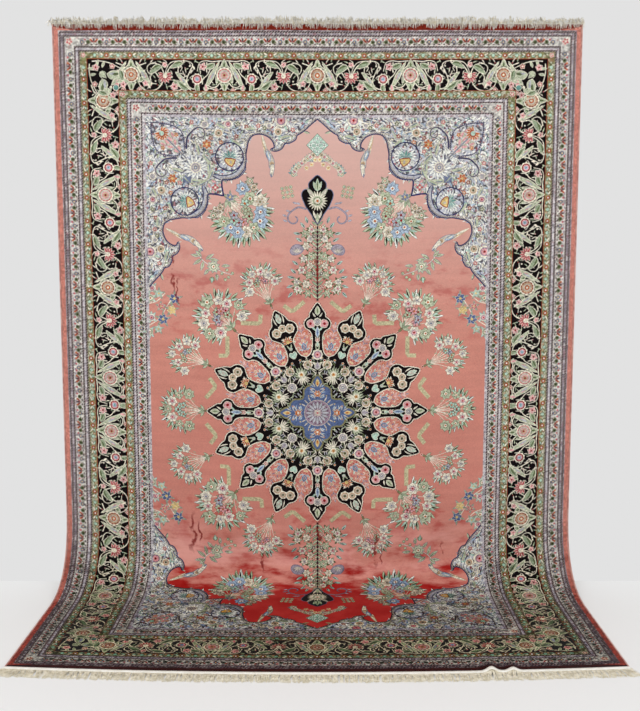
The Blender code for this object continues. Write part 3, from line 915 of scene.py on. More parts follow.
def medallion_centre():
    """The blue four-lobed centre with its rosette."""
    centre = Cartoon()
    quarter = np.concatenate((CENTRE_EDGE, exchanged(np.array(CENTRE_EDGE))[-2:0:-1]))
    edge = np.concatenate([quarter * np.exp(-0.5j * math.pi * turn) for turn in range(4)])
    centre.lay(closed_path(edge, 3), "denim", "olive", 6.0)
    for turn in (0, 90):
        arm = Cartoon()
        for side in (-1.0, 1.0):
            for at, swing, length in ((52, 30, 22), (60, 60, 20), (72, 48, 24), (84, 62, 22), (92, 20, 22)):
                arm.lay(leaf_loop(length, 4.4, at + 8j * side, swing * side, 3 * side), "ivory")
                arm.lay(leaf_loop(length * 0.7, 3.4, at + 3 + 13j * side, (swing + 36) * side), "pale blue")
            arm.lay(round_loop(2.6, 88 + 24j * side, 6), "rust")
            arm.lay(round_loop(2.4, 62 + 32j * side, 6), "gold")
        arm.lay(leaf_loop(28, 13, 96), "gold", "ivory", 1.6)
        arm.lay(leaf_loop(14, 6, 100), "rust")
        arm.put(star_flower(13, "rust", "cream", "ivory", 6), 70)
        centre.put(arm, 0.0, turn)
    for turn in (30, 45, 60):
        centre.lay(leaf_loop(20, 5, 48 * np.exp(1j * math.radians(turn)), turn), "ivory")
    centre.lay(round_loop(46, points=32), "mauve", "ivory", 2.0)
    for number in range(16):
        turn = 22.5 * number
        centre.lay(leaf_loop(30, 9, 14 * np.exp(1j * math.radians(turn)), turn), "silver", "umber", 1.2)
        centre.lay(round_loop(2.2, 38 * np.exp(1j * math.radians(turn + 11.25)), 5), "plum")
    return centre.put(star_flower(15, "ivory", "rose", "mauve", 8))


SECTOR = 22.5  # degrees from one lobe to the next
HEAD_CUTTINGS = 18  # those of a flower lobe that the ring doesn't cover

def lay_medallion(cartoon):
    cartoon.lay(round_loop(214, points=96), "cream")
    cartoon.lay(round_loop(210, points=96), "ink")
    for number in range(-1, 6):
        cartoon.put(bay(), 0.0, SECTOR * number - 0.5 * SECTOR)
    for number in range(-1, 6):
        cartoon.put(thorns(FLOWER_LOBE if number % 2 else LEAF_LOBE), 0.0, SECTOR * number)
        cartoon.put(flower_lobe() if number % 2 else leaf_lobe(), 0.0, SECTOR * number)
    cartoon.lay(round_loop(198, points=96), "ink")
    for number in range(-1, 6):
        axis = SECTOR * number
        cartoon.put(ring_growth(), 0.0, axis)
        for turn, at, silk in ((4.4, 200, "rust"), (-4.4, 200, "rust"), (7.5, 192, "cream"),
                               (-7.5, 192, "madder")):
            cartoon.lay(round_loop(3.4, at * np.exp(1j * math.radians(axis + turn)), 6), silk, "cream", 1.2)
        heart = 178 * np.exp(1j * math.radians(axis + 0.5 * SECTOR))
        cartoon.lay(round_loop(20, heart, 12), "ink")
        cartoon.put(rosette(17, TAN_RINGS, 8), heart)
        cartoon.put(shell() if number % 2 else leaf_fill(), 0.0, axis)
    for number in range(-1, 6, 2):
        cartoon.put(flower_lobe().without_first(HEAD_CUTTINGS), 0.0, SECTOR * number)
    for turn in (0, 45, 90):
        cartoon.put(rosette(19, PINK_RINGS, 8), 211 * np.exp(1j * math.radians(turn)))
    cartoon.lay(round_loop(20, 129 * np.exp(0.25j * math.pi), 12), "ink")
    cartoon.put(rosette(18, LILAC_RINGS, 10), 129 * np.exp(0.25j * math.pi))
    return cartoon.put(medallion_centre())


def leaf_fill():
    """Lilac bud and white twigs between two flowers of the ring."""
    twig = Cartoon()
    for side in (-1.0, 1.0):
        for at, turn, length in ((140, 40, 24), (152, 58, 26), (166, 34, 24), (178, 62, 20),
                                 (150, 150, 20)):
            twig.lay(leaf_loop(length, 4.2, at + 3j * side, turn * side, 3 * side, 3), "cream")
    return twig.put(bud(28, "lilac", leaf="silver"), 158)


# %% [markdown]
# ## Bouquets and birds of the field
# Round bouquets stand around the medallion with their stalks towards it. Each has a fan of
# stalks, a ring of pale blossoms and a rim of leaves in green, white and dark silk. On the
# middle line stands a spray with a dark vase palmette, and two birds look in from the corners.

# %% Field motifs
def blossom(radius, rings, petals=6, turn=0.0):
    """A flower of separate petals, each with a dark outline, as the small ones of the field are."""
    flower = Cartoon()
    for number in range(petals):
        angle = turn + 360.0 * number / petals
        flower.lay(leaf_loop(radius * 1.04, radius * 0.92, turn=angle, steps=3), rings[0][1], "umber", 0.9)
    for number in range(petals):
        angle = turn + 360.0 * (number + 0.5) / petals
        flower.lay(leaf_loop(radius * 0.6, radius * 0.26, turn=angle, steps=2), rings[1][1])
    flower.lay(round_loop(radius * 0.34, points=6), rings[2][1])
    return flower.lay(round_loop(radius * 0.17, points=5), rings[3][1])


def bouquet(middle, radius, spread, blossoms, seed, rings=(PINK_RINGS, LILAC_RINGS, FIELD_RINGS)):
    """Stalks from 0 to blossoms in an arc about a middle on +y, with leaves at its rim."""
    bunch, draw = Cartoon(), random.Random(seed)
    heart, leaves = 1j * middle, 2 * blossoms + 1

    def around(part, share_of_radius):
        turn = 90.0 + spread * (part - 0.5)
        return heart + share_of_radius * radius * np.exp(1j * math.radians(turn)), turn

    for number in range(leaves):
        foot, turn = around(number / (leaves - 1.0), 0.74)
        long, lean = draw.uniform(0.36, 0.46) * radius, turn + draw.uniform(-18, 18)
        bunch.lay(leaf_loop(long, 0.28 * long, foot, lean), "pale sage" if number % 3 else "white",
                  "umber", 1.2)
        bunch.lay(leaf_loop(0.8 * long, 0.14 * long, foot, lean + 5), "ink" if number % 2 else "moss")
        bunch.lay(leaf_loop(0.7 * long, 0.2 * long, foot, lean + 32), "celadon", "moss", 0.8)
    for number in range(2 * blossoms - 1):
        tip, _ = around(number / (2.0 * blossoms - 2.0), 0.66 if number % 2 == 0 else 0.30)
        bunch.lay(ribbon(smooth_path([0.0, 0.35 * tip + 0.16 * heart, tip], 3), 2.2, 1.5), "cream")
        bunch.lay(leaf_loop(0.2 * radius, 3.2, 0.6 * tip, 90 + draw.uniform(-60, 60)), "sage")
    for number in range(blossoms):
        at, _ = around(number / (blossoms - 1.0), draw.uniform(0.56, 0.84))
        size = 0.24 * radius * draw.uniform(0.80, 1.14)
        bunch.put(blossom(size, rings[number % len(rings)], draw.choice((5, 6, 7)), 40.0 * number), at)
    for number in range(blossoms - 2):
        at, turn = around((number + 0.5) / (blossoms - 2.0), draw.uniform(0.18, 0.36))
        bunch.lay(leaf_loop(0.22 * radius, 0.09 * radius, at, turn + 40), "sage", "umber", 0.8)
        silk = draw.choice(("silver", "pale sage", "pink", "celadon"))
        bunch.put(star_flower(0.16 * radius, silk, draw.choice(("rust", "madder", "slate")), "umber"), at,
                  turn)
    for side in (-1.0, 1.0):
        bunch.lay(leaf_loop(0.34 * radius, 0.11 * radius, 4j, 90 + 58 * side), "pale sage", "umber", 1.0)
        bunch.lay(leaf_loop(0.3 * radius, 0.09 * radius, 8j, 90 + 30 * side), "sage", "umber", 0.8)
    bunch.lay(leaf_loop(0.26 * radius, 0.1 * radius, -0.16j * radius, 90), "olive", "umber", 0.8)
    return bunch.lay(round_loop(3.0, -0.18j * radius, 6), "madder", "cream", 1.2)


def sprig():
    """A lying twig with one large pale flower, leaves and berries, 160 mm long, centred."""
    twig = Cartoon()
    twig.lay(ribbon(smooth_path([-70 - 34j, -40 - 10j, 0, 40 + 4j, 74 + 2j]), 2.6, 1.6), "cream", "mauve",
             0.9)
    for at, turn, length in ((-52 - 22j, 160, 34), (-44 - 14j, 120, 38), (-36 - 8j, 80, 36),
                             (-46 - 20j, 200, 30),
                             (-30 - 16j, 300, 36), (-20 - 20j, 340, 36), (-58 - 30j, 260, 26),
                             (-10 + 12j, 100, 26),
                             (30 - 14j, 330, 30), (22 + 18j, 60, 24)):
        twig.lay(leaf_loop(length, 11, at, turn, 3), "pale sage", "mauve", 1.5)
        twig.lay(leaf_loop(length * 0.7, 2.6, at, turn, 2), "olive")
    for turn in range(0, 360, 40):
        twig.lay(leaf_loop(24, 13, 4 - 2j, turn), "pale sage", "mauve", 1.3)
    twig.put(rosette(13, FIELD_RINGS, 7), 4 - 2j)
    for at in (40 + 10j, 52 - 8j, 66 + 14j, 74 - 4j, 58 + 26j):
        twig.lay(round_loop(5, at, 7), "pale sage", "moss", 1.2)
    return twig.put(bud(22, "celadon", "moss"), 12 + 34j, 76)


def pheasant():
    """A bird seen from the side, from the tip of its tail at 0 to its head near 138."""
    bird = Cartoon()
    for bend, silk in ((9, "cream"), (3, "gold"), (-4, "cream")):
        bird.lay(leaf_loop(72, 8, 0, 4, bend, 5), silk, "tan", 1.2)
    bird.lay(closed_path([52 + 4j, 76 + 10j, 98 + 8j, 116 + 14j, 124 + 8j, 118 - 4j, 96 - 10j, 70 - 6j],
                         2), "ivory",
             "slate", 1.6)
    bird.lay(leaf_loop(38, 12, 60 + 2j, 2), "pale blue", "slate", 1.2)
    bird.lay(leaf_loop(26, 5, 64 + 1j, 4), "cream")
    bird.lay(round_loop(8, 108 + 1j, 8), "tan", "cream", 1.4)
    bird.lay(closed_path([112 + 8j, 128 + 14j, 142 + 20j, 150 + 15j, 140 + 8j, 124 - 2j, 114 - 4j], 2),
             "cream",
             "slate", 1.4)
    bird.lay(leaf_loop(17, 5, 138 + 15j, 20), "slate")
    return bird.lay(round_loop(2.2, 108 + 1j, 5), "olive")


def vase_palmette():
    """The dark palmette on the middle line, with its dahlia; from its foot at 0 to its tip at 165."""
    vase = Cartoon()
    right = [0.0, 20 + 30j, 42 + 62j, 55 + 98j, 46 + 116j, 30 + 118j, 30 + 138j, 18 + 152j]
    outline = right + [166j] + [complex(-point.real, point.imag) for point in reversed(right[1:])]
    vase.lay(closed_path(outline, 3), "ink", "slate", 2.6)
    for turn, length in ((90, 44), (66, 36), (114, 36)):
        vase.lay(leaf_loop(length, 12, 112j, turn), "pale sage", "celadon", 1.2)
    vase.lay(leaf_loop(36, 4, 114j, 90), "moss")
    for side in (-1.0, 1.0):
        vase.lay(leaf_loop(44, 12, 8 * side + 92j, 90 - 52 * side, 8 * side), "ivory", "sage", 1.4)
        vase.lay(leaf_loop(34, 8, 4 * side + 14j, 90 - 26 * side, 4 * side), "cream")
    for turn in range(0, 360, 18):
        vase.lay(leaf_loop(36, 7, 78j, turn), "cream", "olive", 0.9)
    vase.put(rosette(19, FIELD_RINGS, 10), 78j)
    vase.lay(leaf_loop(34, 12, 2j, 90), "pale sage", "cream", 1.2)
    return vase


def bracket(first, corner, last):
    """A pale-green angle piece between two bouquets."""
    path = np.array([first, corner + 0.1 * (first - corner), corner + 0.1 * (last - corner), last])
    return Cartoon().lay(ribbon(path, 14.0), "bracket green", "tan", 0.8)


def flower_cluster(places, rings, radius, leaf_silk, seed):
    """Round blossoms at given places, each with a few leaves peeping out."""
    bunch, draw = Cartoon(), random.Random(seed)
    for at in places:
        for number in range(5):
            turn = 72.0 * number + draw.uniform(-20, 20)
            bunch.lay(leaf_loop(radius * 1.9, radius * 0.7, at, turn), leaf_silk, "mauve", 1.1)
    for number, at in enumerate(places):
        bunch.put(rosette(radius, rings[number % len(rings)], 7, "ivory"), at)
    return bunch


def middle_spray():
    """The spray on the middle line from the medallion up to the vase palmette."""
    spray = Cartoon()
    spray.lay(ribbon(np.array([404j, 690j]), 6.0), "plum", "moss", 1.4)
    for at in range(412, 688, 15):
        for side in (-1.0, 1.0):
            spray.lay(leaf_loop(26, 8, 1j * at, 90 - 56 * side, 3 * side),
                      "sage" if at % 2 else "pale sage", "umber", 1.1)
    for number, (x, y) in enumerate(((34, 430), (66, 440), (40, 462), (74, 470), (30, 494), (56, 512),
                                     (26, 528), (48, 552),
                                     (22, 560), (72, 446), (40, 596), (26, 622), (44, 640), (20, 655))):
        spray.put(bouquet_head(number), complex(x, y), -8.0 * number)
    for at, turn in ((82 + 484j, 10), (86 + 458j, -20), (76 + 500j, 40), (68 + 530j, 34), (58 + 570j, 40),
                     (88 + 434j, -50),
                     (54 + 612j, 30), (60 + 638j, 10), (44 + 660j, 50), (34 + 676j, 70)):
        spray.lay(leaf_loop(26, 9, at, turn), "celadon", "mauve", 1.2)
        spray.lay(leaf_loop(20, 3, at, turn + 4), "ink")
    spray.lay(closed_path([50 + 584j, 62 + 600j, 84 + 598j, 96 + 580j, 88 + 566j, 66 + 568j], 3), "lilac",
              "slate", 1.8)
    for turn in (150, 120, 90, 60, 30):
        spray.lay(leaf_loop(20, 5, 72 + 572j, turn), "ivory")
    for at, silk in ((16 + 452j, "madder"), (14 + 500j, "ink"), (14 + 540j, "rust"), (12 + 590j, "madder"),
                     (12 + 630j, "ink"), (10 + 664j, "rust")):
        spray.put(star_flower(8, silk, "cream", "ivory"), at)
    return spray


def bouquet_head(number):
    head = Cartoon()
    rings = (FIELD_RINGS, PINK_RINGS, TAN_RINGS, LILAC_RINGS)[number % 4]
    for turn in range(0, 360, 60):
        head.lay(leaf_loop(20, 7, 0, turn + 9 * number), "pale sage" if turn % 120 else "moss", "umber",
                 1.0)
    return head.put(blossom(12 + number % 3, rings, 6, 20.0 * number))


def crest():
    """Small flowers in an arc over the vase palmette, up to a blue-green diamond."""
    arc = Cartoon()
    path = smooth_path([84 + 846j, 74 + 866j, 54 + 884j, 34 + 900j, 14 + 912j], 4)
    for number, at in enumerate(path):
        arc.lay(leaf_loop(20, 7, at, 20 + 16 * number), "celadon" if number % 3 else "teal", "mauve", 1.0)
        arc.lay(leaf_loop(15, 5, at, 200 + 16 * number), "pale sage", "mauve", 0.9)
    for number, at in enumerate(path[::2]):
        arc.put(rosette(9, (FIELD_RINGS, PINK_RINGS, TAN_RINGS)[number % 3], 6, "ivory"), at)
    for at in (20 + 880j, 38 + 868j, 8 + 896j):
        arc.put(star_flower(8, "gold", "rust", "cream"), at)
    arc.lay(np.array([38 + 946j, 986j, -38 + 946j, 908j]), "celadon", "umber", 1.4)
    for x, y in ((0, 968), (12, 956), (0, 946), (24, 946), (12, 934), (0, 922)):
        for turn in (45, 135, 225, 315):
            arc.lay(leaf_loop(10, 5, complex(x, y), turn, steps=2), "white" if turn % 90 else "teal",
                    "teal", 0.9)
        arc.lay(round_loop(2, complex(x, y), 5), "umber")
    return arc


def lay_field(cartoon):
    """The salmon field with its motifs, then the corners, their stripe and the medallion."""
    cartoon.lay(box_loop(-20 - 20j, complex(FIELD_HALF_WIDTH, FIELD_HALF_LENGTH)), "salmon")
    cartoon.put(bouquet(60, 92, 262, 9, 3, (PINK_RINGS, FIELD_RINGS, LILAC_RINGS)), 298 + 298j, -45)
    cartoon.put(bouquet(80, 70, 200, 6, 4, (LILAC_RINGS, PINK_RINGS)), 166 + 388j, -24)
    cartoon.put(bouquet(80, 70, 200, 6, 5, (LILAC_RINGS, PINK_RINGS)), 388 + 166j, -66)
    cartoon.put(bouquet(80, 78, 220, 7, 6, (FIELD_RINGS, PINK_RINGS, FIELD_RINGS)), 402, -90)
    cartoon.put(middle_spray())
    cartoon.put(sprig(), 372 + 519j, 200)
    cartoon.put(bouquet(76, 106, 270, 11, 7, (BLUE_RINGS, FIELD_RINGS, TAN_RINGS, BLUE_RINGS)), 318 + 764j,
                138)
    cartoon.put(flower_cluster((342 + 728j, 366 + 700j, 222 + 800j, 236 + 822j), (TAN_RINGS, FIELD_RINGS),
                               11, "olive", 8))
    cartoon.put(flower_cluster((598 + 278j, 590 + 330j, 592 + 400j, 586 + 436j), (FIELD_RINGS, PINK_RINGS),
                               13, "celadon", 9))
    cartoon.lay(ribbon(smooth_path([600 + 300j, 560 + 330j, 530 + 380j, 510 + 410j]), 3), "cream")
    cartoon.lay(ribbon(smooth_path([600 + 380j, 570 + 390j, 540 + 420j]), 3), "cream")
    for at, silk, radius in ((307 + 765j, "slate", 15), (507 + 402j, "denim", 19),
                             (549 + 326j, "denim", 19), (517 + 361j, "gold", 17),
                             (556 + 372j, "rose", 12), (562 + 418j, "celadon", 14),
                             (566 + 290j, "celadon", 13)):
        for turn in range(20, 380, 72):
            cartoon.lay(leaf_loop(radius * 1.7, 7, at, turn), "sage", "mauve", 1.1)
        cartoon.put(star_flower(radius, silk, "gold", "ivory", 6), at, radius)
    cartoon.put(vase_palmette(), 676j)
    cartoon.lay(ribbon(np.concatenate((smooth_path([40 + 726j, 66 + 732j, 86 + 722j], 3),
                                       spiral_path(82 + 692j, 26, 8, 60, -300, 12))), 4.4, 2.2), "lilac",
                                       "slate", 1.2)
    for at in (96 + 716j, 108 + 700j, 106 + 682j, 60 + 742j, 72 + 744j):
        cartoon.lay(leaf_loop(16, 6, at, 20), "silver", "mauve", 1.1)
    for row in range(3):
        for column in range(3):
            at = 88 + 772j + 15 * column - 3j * column + 15j * row + 3 * row
            cartoon.lay(petal_loop(6, 4, 0.2, at), "pale sage", "olive", 1.0)
            cartoon.lay(round_loop(2, at, 5), "rust" if (row + column) % 2 else "slate")
    cartoon.put(crest())
    for points in ((272 + 321j, 204 + 321j, 202 + 352j), (321 + 272j, 321 + 204j, 352 + 202j),
                   (120 + 386j, 90 + 364j, 47 + 400j), (386 + 120j, 364 + 90j, 400 + 47j)):
        cartoon.put(bracket(*points))
    cartoon.put(pheasant(), 195 + 984j, 250)
    cartoon.put(pheasant(), 536 + 652j, 203, flip=False)
    for loop, silk in corner_bed_cartoon.cuttings:
        cartoon.lay(complex(FIELD_HALF_WIDTH, FIELD_HALF_LENGTH) - loop, silk)
    stripe = band_rows[0]
    far = complex(FIELD_HALF_WIDTH + stripe[2], FIELD_HALF_LENGTH + stripe[2])
    cartoon.lay(box_loop(complex(-20, FIELD_HALF_LENGTH), far), stripe[3])
    cartoon.lay(box_loop(complex(FIELD_HALF_WIDTH, -20), far), stripe[3])
    return lay_medallion(cartoon)


print("a bouquet has", len(bouquet(60, 92, 262, 9, 3).cuttings), "cuttings")

# %% [markdown]
# ## From the cartoon to a net of knots
# The cuttings overlap, and a mesh can't. A constrained triangulation cuts them along every
# outline, and each small triangle keeps the silk of the cutting that lies on top. Extra points
# between them let the net follow the bend and the folds. One quarter is cut and flipped over
# twice, as the cartoon of such a rug is read, so the four quarters match exactly.

# %% Cut one quarter along every outline
def cut_outlines(cartoon):
    """Triangles of one quarter, each with the silk of the cutting that lies on top of it."""
    points, loops, silks, boxes = [], [], [], []
    for loop, silk in cartoon.cuttings:
        loop = loop[abs(loop - np.roll(loop, 1)) > 0.05]
        if len(loop) < 3 or abs(loop_area(loop)) < 1.0:
            continue
        loops.append(list(range(len(points), len(points) + len(loop))))
        silks.append(SILK_NAMES.index(silk))
        boxes.append((loop.real.min(), loop.imag.min(), loop.real.max(), loop.imag.max()))
        points.extend(loop if loop_area(loop) > 0.0 else loop[::-1])
    start = len(points)
    points.extend([0.0, HALF_WIDTH, complex(HALF_WIDTH, HALF_LENGTH), 1j * HALF_LENGTH])
    rim = [(start, start + 1), (start + 1, start + 2), (start + 2, start + 3), (start + 3, start)]
    flat = [Vector((point.real, point.imag)) for point in np.array(points, complex)]
    verts, _, faces, _, _, covers = delaunay_2d_cdt(flat, rim, loops, 0, 1e-3)
    places = np.array([(vert.x, vert.y) for vert in verts])
    middles = places[np.array(faces)].mean(1)
    inside = (middles > 0.0).all(1) & (middles < (HALF_WIDTH, HALF_LENGTH)).all(1)
    triangles, top = [], []
    for number in np.flatnonzero(inside):
        x, y = middles[number]
        for cover in sorted(covers[number], reverse=True):
            low_x, low_y, high_x, high_y = boxes[cover]
            if low_x <= x <= high_x and low_y <= y <= high_y:
                triangles.append(faces[number])
                top.append(silks[cover])
                break
    return places, triangles, top


cartoon = Cartoon()
lay_frame(cartoon)
lay_field(cartoon)
cut_places, cut_triangles, cut_silks = cut_outlines(cartoon)
print(len(cartoon.cuttings), "cuttings gave", len(cut_triangles), "triangles in a quarter")

# %% Join what is of one silk, and net the patches again
WIDE_STEP, FINE_STEP = 19.0, 6.0


def net_points():
    """Extra points of the net: a wide grid, and a fine one where the lower edge ripples."""
    across = np.linspace(0.0, HALF_WIDTH, round(HALF_WIDTH / WIDE_STEP) + 1)
    along = np.linspace(0.0, HALF_LENGTH, round(HALF_LENGTH / WIDE_STEP) + 1)
    wide = (across[:, None] + 1j * along[None, :]).ravel()
    fine = np.arange(462.0, 622.0, FINE_STEP)[:, None] + 1j * np.arange(1181.0, HALF_LENGTH, 9.0)[None, :]
    return np.concatenate((wide, fine.ravel()))


def joined_outlines(places, triangles, silks):
    """Points and lines between patches of different silk; what a later cutting covers is gone."""
    net = bmesh.new()
    spots = [net.verts.new((x, y, 0.0)) for x, y in places]
    for triangle, silk in zip(triangles, silks):
        net.faces.new([spots[number] for number in triangle]).material_index = silk
    net.normal_update()
    bmesh.ops.dissolve_limit(net, angle_limit=math.radians(5.0), verts=net.verts, edges=net.edges,
                             delimit={"MATERIAL"})
    for edge in list(net.edges):
        middle = 0.5 * (edge.verts[0].co + edge.verts[1].co)
        rippled = 455.0 < middle.x < 625.0 and middle.y > 1175.0
        parts = math.ceil(edge.calc_length() / (FINE_STEP if rippled else WIDE_STEP))
        for left in range(parts, 1, -1):
            first, last = edge.verts
            _, spot = bmesh.utils.edge_split(edge, first, 1.0 / left)
            edge = next(part for part in spot.link_edges if part.other_vert(spot) is last)
    outlines = [edge for edge in net.edges if len({face.material_index for face in edge.link_faces}) > 1
                or edge.is_boundary]
    spots = list({vert for edge in outlines for vert in edge.verts})
    spots.sort(key=lambda vert: vert.index)
    number_of = {vert: number for number, vert in enumerate(spots)}
    points = [complex(vert.co.x, vert.co.y) for vert in spots]
    lines = [(number_of[edge.verts[0]], number_of[edge.verts[1]]) for edge in outlines]
    net.free()
    return points, lines


def net_between(points, lines):
    """Triangles between the outlines, small enough to follow the bend and the folds."""
    flat = [Vector((point.real, point.imag)) for point in points + list(net_points())]
    verts, _, faces, _, _, _ = delaunay_2d_cdt(flat, lines, [], 0, 1e-3)
    places = np.array([(vert.x, vert.y) for vert in verts])
    faces = np.array(faces)
    middles = places[faces].mean(1)
    inside = (middles > 0.0).all(1) & (middles < (HALF_WIDTH, HALF_LENGTH)).all(1)
    return places, faces[inside], middles[inside]


def silks_below(middles):
    """The silk under each place, found by looking straight down on the cut cartoon."""
    ground = BVHTree.FromPolygons([(x, y, 0.0) for x, y in cut_places], cut_triangles)
    down, silks = Vector((0.0, 0.0, -1.0)), []
    for x, y in middles:
        found = ground.ray_cast(Vector((x, y, 1.0)), down)[2]
        silks.append(cut_silks[found] if found is not None else SILK_NAMES.index("salmon"))
    return np.array(silks)


points, lines = joined_outlines(cut_places, cut_triangles, cut_silks)
quarter_places, quarter_triangles, middles = net_between(points, lines)
quarter_silks = silks_below(middles)
print(len(lines), "lines gave", len(quarter_triangles), "triangles in a quarter")

# %% Flip the quarter over into the whole rug
def whole_net(places, triangles, silks):
    """All four quarters, in metres across and along the rug, welded on the middle lines."""
    all_places, all_triangles = [], []
    for side in (1.0, -1.0):
        for end in (1.0, -1.0):
            count = sum(len(part) for part in all_places)
            across = side * places[:, 0] * MM
            along = 0.5 * RUG_LENGTH - end * places[:, 1] * MM
            all_places.append(np.stack((across, along), -1))
            turned = triangles if side * end > 0.0 else triangles[:, ::-1]
            all_triangles.append(turned + count)
    all_places, all_triangles = np.concatenate(all_places), np.concatenate(all_triangles)
    _, first, same = np.unique((all_places * 1e5).round().astype(int), axis=0, return_index=True,
                               return_inverse=True)
    joined = same.reshape(-1)[all_triangles]
    sound = (joined[:, 0] != joined[:, 1]) & (joined[:, 1] != joined[:, 2]) & (joined[:, 0] != joined[:, 2])
    return all_places[first], joined[sound], np.tile(silks, 4)[sound]


net_places, net_triangles, net_silks = whole_net(quarter_places, quarter_triangles, quarter_silks)
print("whole rug:", len(net_places), "points,", len(net_triangles), "triangles")

# %% [markdown]
# ## Laying the net on the hung rug
# The knotted rug is one cloth, but its mesh is easier to handle and to bake in parts, so it is
# parted along the lines of its own design: field, medallion, corners, main border and guards.
# The normals come from the surface itself and not from each part, so no seam shows in the
# light. Each point keeps its place on the flat rug, which the weave and the dyes follow.

# %% Helpers for meshes on the rug
def surface_normals(across, along, height=0.0):
    """Normals of the pile side, from small steps across and along the rug."""
    step = 0.002
    over = surface(across + step, along, height) - surface(across - step, along, height)
    down = surface(across, along + step, height) - surface(across, along - step, height)
    normals = np.cross(over, -down)
    return normals / np.linalg.norm(normals, axis=1)[:, None]


def new_piece(name, points, faces, material):
    """A smooth mesh of one material, as an object in the scene."""
    mesh = bpy.data.meshes.new(name)
    mesh.from_pydata(points, [], faces)
    mesh.polygons.foreach_set("use_smooth", np.ones(len(faces), bool))
    mesh.materials.append(material)
    piece = bpy.data.objects.new(name, mesh)
    bpy.context.scene.collection.objects.link(piece)
    return piece

def cloth_piece(name, places, faces, height, material, silks=None, flip=False):
    """A mesh of places on the flat rug, laid on the hung rug at a height above its back."""
    used, faces = np.unique(faces, return_inverse=True)
    faces = faces.reshape(-1, 3)
    across, along = places[used, 0], places[used, 1]
    normals = surface_normals(across, along) * (-1.0 if flip else 1.0)
    if flip:
        faces = faces[:, ::-1]
    piece = new_piece(name, surface(across, along, height).tolist(), faces.tolist(), material)
    corners, mesh = faces.ravel(), piece.data
    flat = mesh.uv_layers.new(name="flat")
    flat.data.foreach_set("uv", np.stack((across[corners], along[corners]), -1).ravel())
    lay_bake_map(mesh, across[corners], along[corners])
    if silks is not None:
        colours = mesh.color_attributes.new(name="silk", type="FLOAT_COLOR", domain="CORNER")
        colours.data.foreach_set("color", np.repeat(silk_table[silks], 3, axis=0).ravel())
    mesh.normals_split_custom_set_from_vertices(normals.tolist())
    return piece

def lay_bake_map(mesh, across, along):
    """The flat rug fitted into the unit square, where a bake of this piece finds its place."""
    low, high = (across.min(), along.min()), (across.max(), along.max())
    bake = mesh.uv_layers.new(name="OFBake")
    spots = np.stack(((across - low[0]) / (high[0] - low[0]), (along - low[1]) / (high[1] - low[1])), -1)
    bake.data.foreach_set("uv", (0.01 + 0.98 * spots).ravel())


silk_table = np.ones((len(SILK_NAMES), 4))
silk_table[:, :3] = SILK_COLOURS
for name, kind in SILK_KINDS.items():
    silk_table[SILK_NAMES.index(name), 3] = kind
print("normal at the top:", surface_normals(np.array([0.5]), np.array([0.2])).round(2).tolist())

# %% [markdown]
# ## The pile's material
# Silk pile is thousands of cut thread ends that lean down the rug, so it is darker seen
# against the lean and bright seen along it. Each knot took the dye a little differently, and
# every few rows the weaver opened a new hank, which gives the soft stripes called abrash. The
# material builds up in that order: silk colour, dotted lines, knots, hanks, then painted light:
# painted shade in the folds, a painted sheen on the bend and high up, painted shade on the
# bend and the floor, and painted shade in the creases.

# %% Shader helpers
def new_material(name):
    material = bpy.data.materials.new(name)
    material.use_nodes = True
    nodes = material.node_tree.nodes
    nodes.clear()
    shader = nodes.new("ShaderNodeBsdfPrincipled")
    output = nodes.new("ShaderNodeOutputMaterial")
    material.node_tree.links.new(shader.outputs["BSDF"], output.inputs["Surface"])
    return material, shader


def add_node(material, kind, inputs=(), **settings):
    """Adds a node; its inputs are plain values or outputs of other nodes."""
    node = material.node_tree.nodes.new("ShaderNode" + kind)
    for name, value in settings.items():
        setattr(node, name, value)
    for name, value in dict(inputs).items():
        if isinstance(value, bpy.types.NodeSocket):
            material.node_tree.links.new(value, node.inputs[name])
        elif isinstance(value, bpy.types.Node):
            material.node_tree.links.new(value.outputs[0], node.inputs[name])
        else:
            node.inputs[name].default_value = value
    return node


def maths(material, operation, first, second=0.0, third=0.0, clamp=False):
    return add_node(material, "Math", {0: first, 1: second, 2: third}, operation=operation, use_clamp=clamp)


def blend(material, share_of_second, first, second, kind="MIX"):
    """Mixes two colours."""
    node = add_node(material, "Mix", data_type="RGBA", blend_type=kind, clamp_factor=True)
    for number, value in ((0, share_of_second), (6, first), (7, second)):
        if isinstance(value, bpy.types.Node):
            material.node_tree.links.new(value.outputs[0], node.inputs[number])
        elif isinstance(value, bpy.types.NodeSocket):
            material.node_tree.links.new(value, node.inputs[number])
        else:
            node.inputs[number].default_value = value
    return node.outputs[2]


def between(material, value, low, high, low_out=0.0, high_out=1.0, smooth=True):
    return add_node(material, "MapRange", {"Value": value, "From Min": low, "From Max": high,
                                           "To Min": low_out, "To Max": high_out},
                    interpolation_type="SMOOTHSTEP" if smooth else "LINEAR").outputs[0]


def noise(material, place, scale, detail=2.0, roughness=0.5):
    return add_node(material, "TexNoise", {"Vector": place, "Scale": scale, "Detail": detail,
                                           "Roughness": roughness}).outputs["Fac"]


def scaled(material, place, sizes):
    return add_node(material, "VectorMath", {0: place, 1: sizes}, operation="MULTIPLY").outputs[0]


def tint(red, green, blue):
    """A screen colour as linear light, for a node."""
    return tuple((value / 255.0) ** 2.2 for value in (red, green, blue)) + (1.0,)


print("tint of crimson:", [round(value, 3) for value in tint(144, 53, 40)])

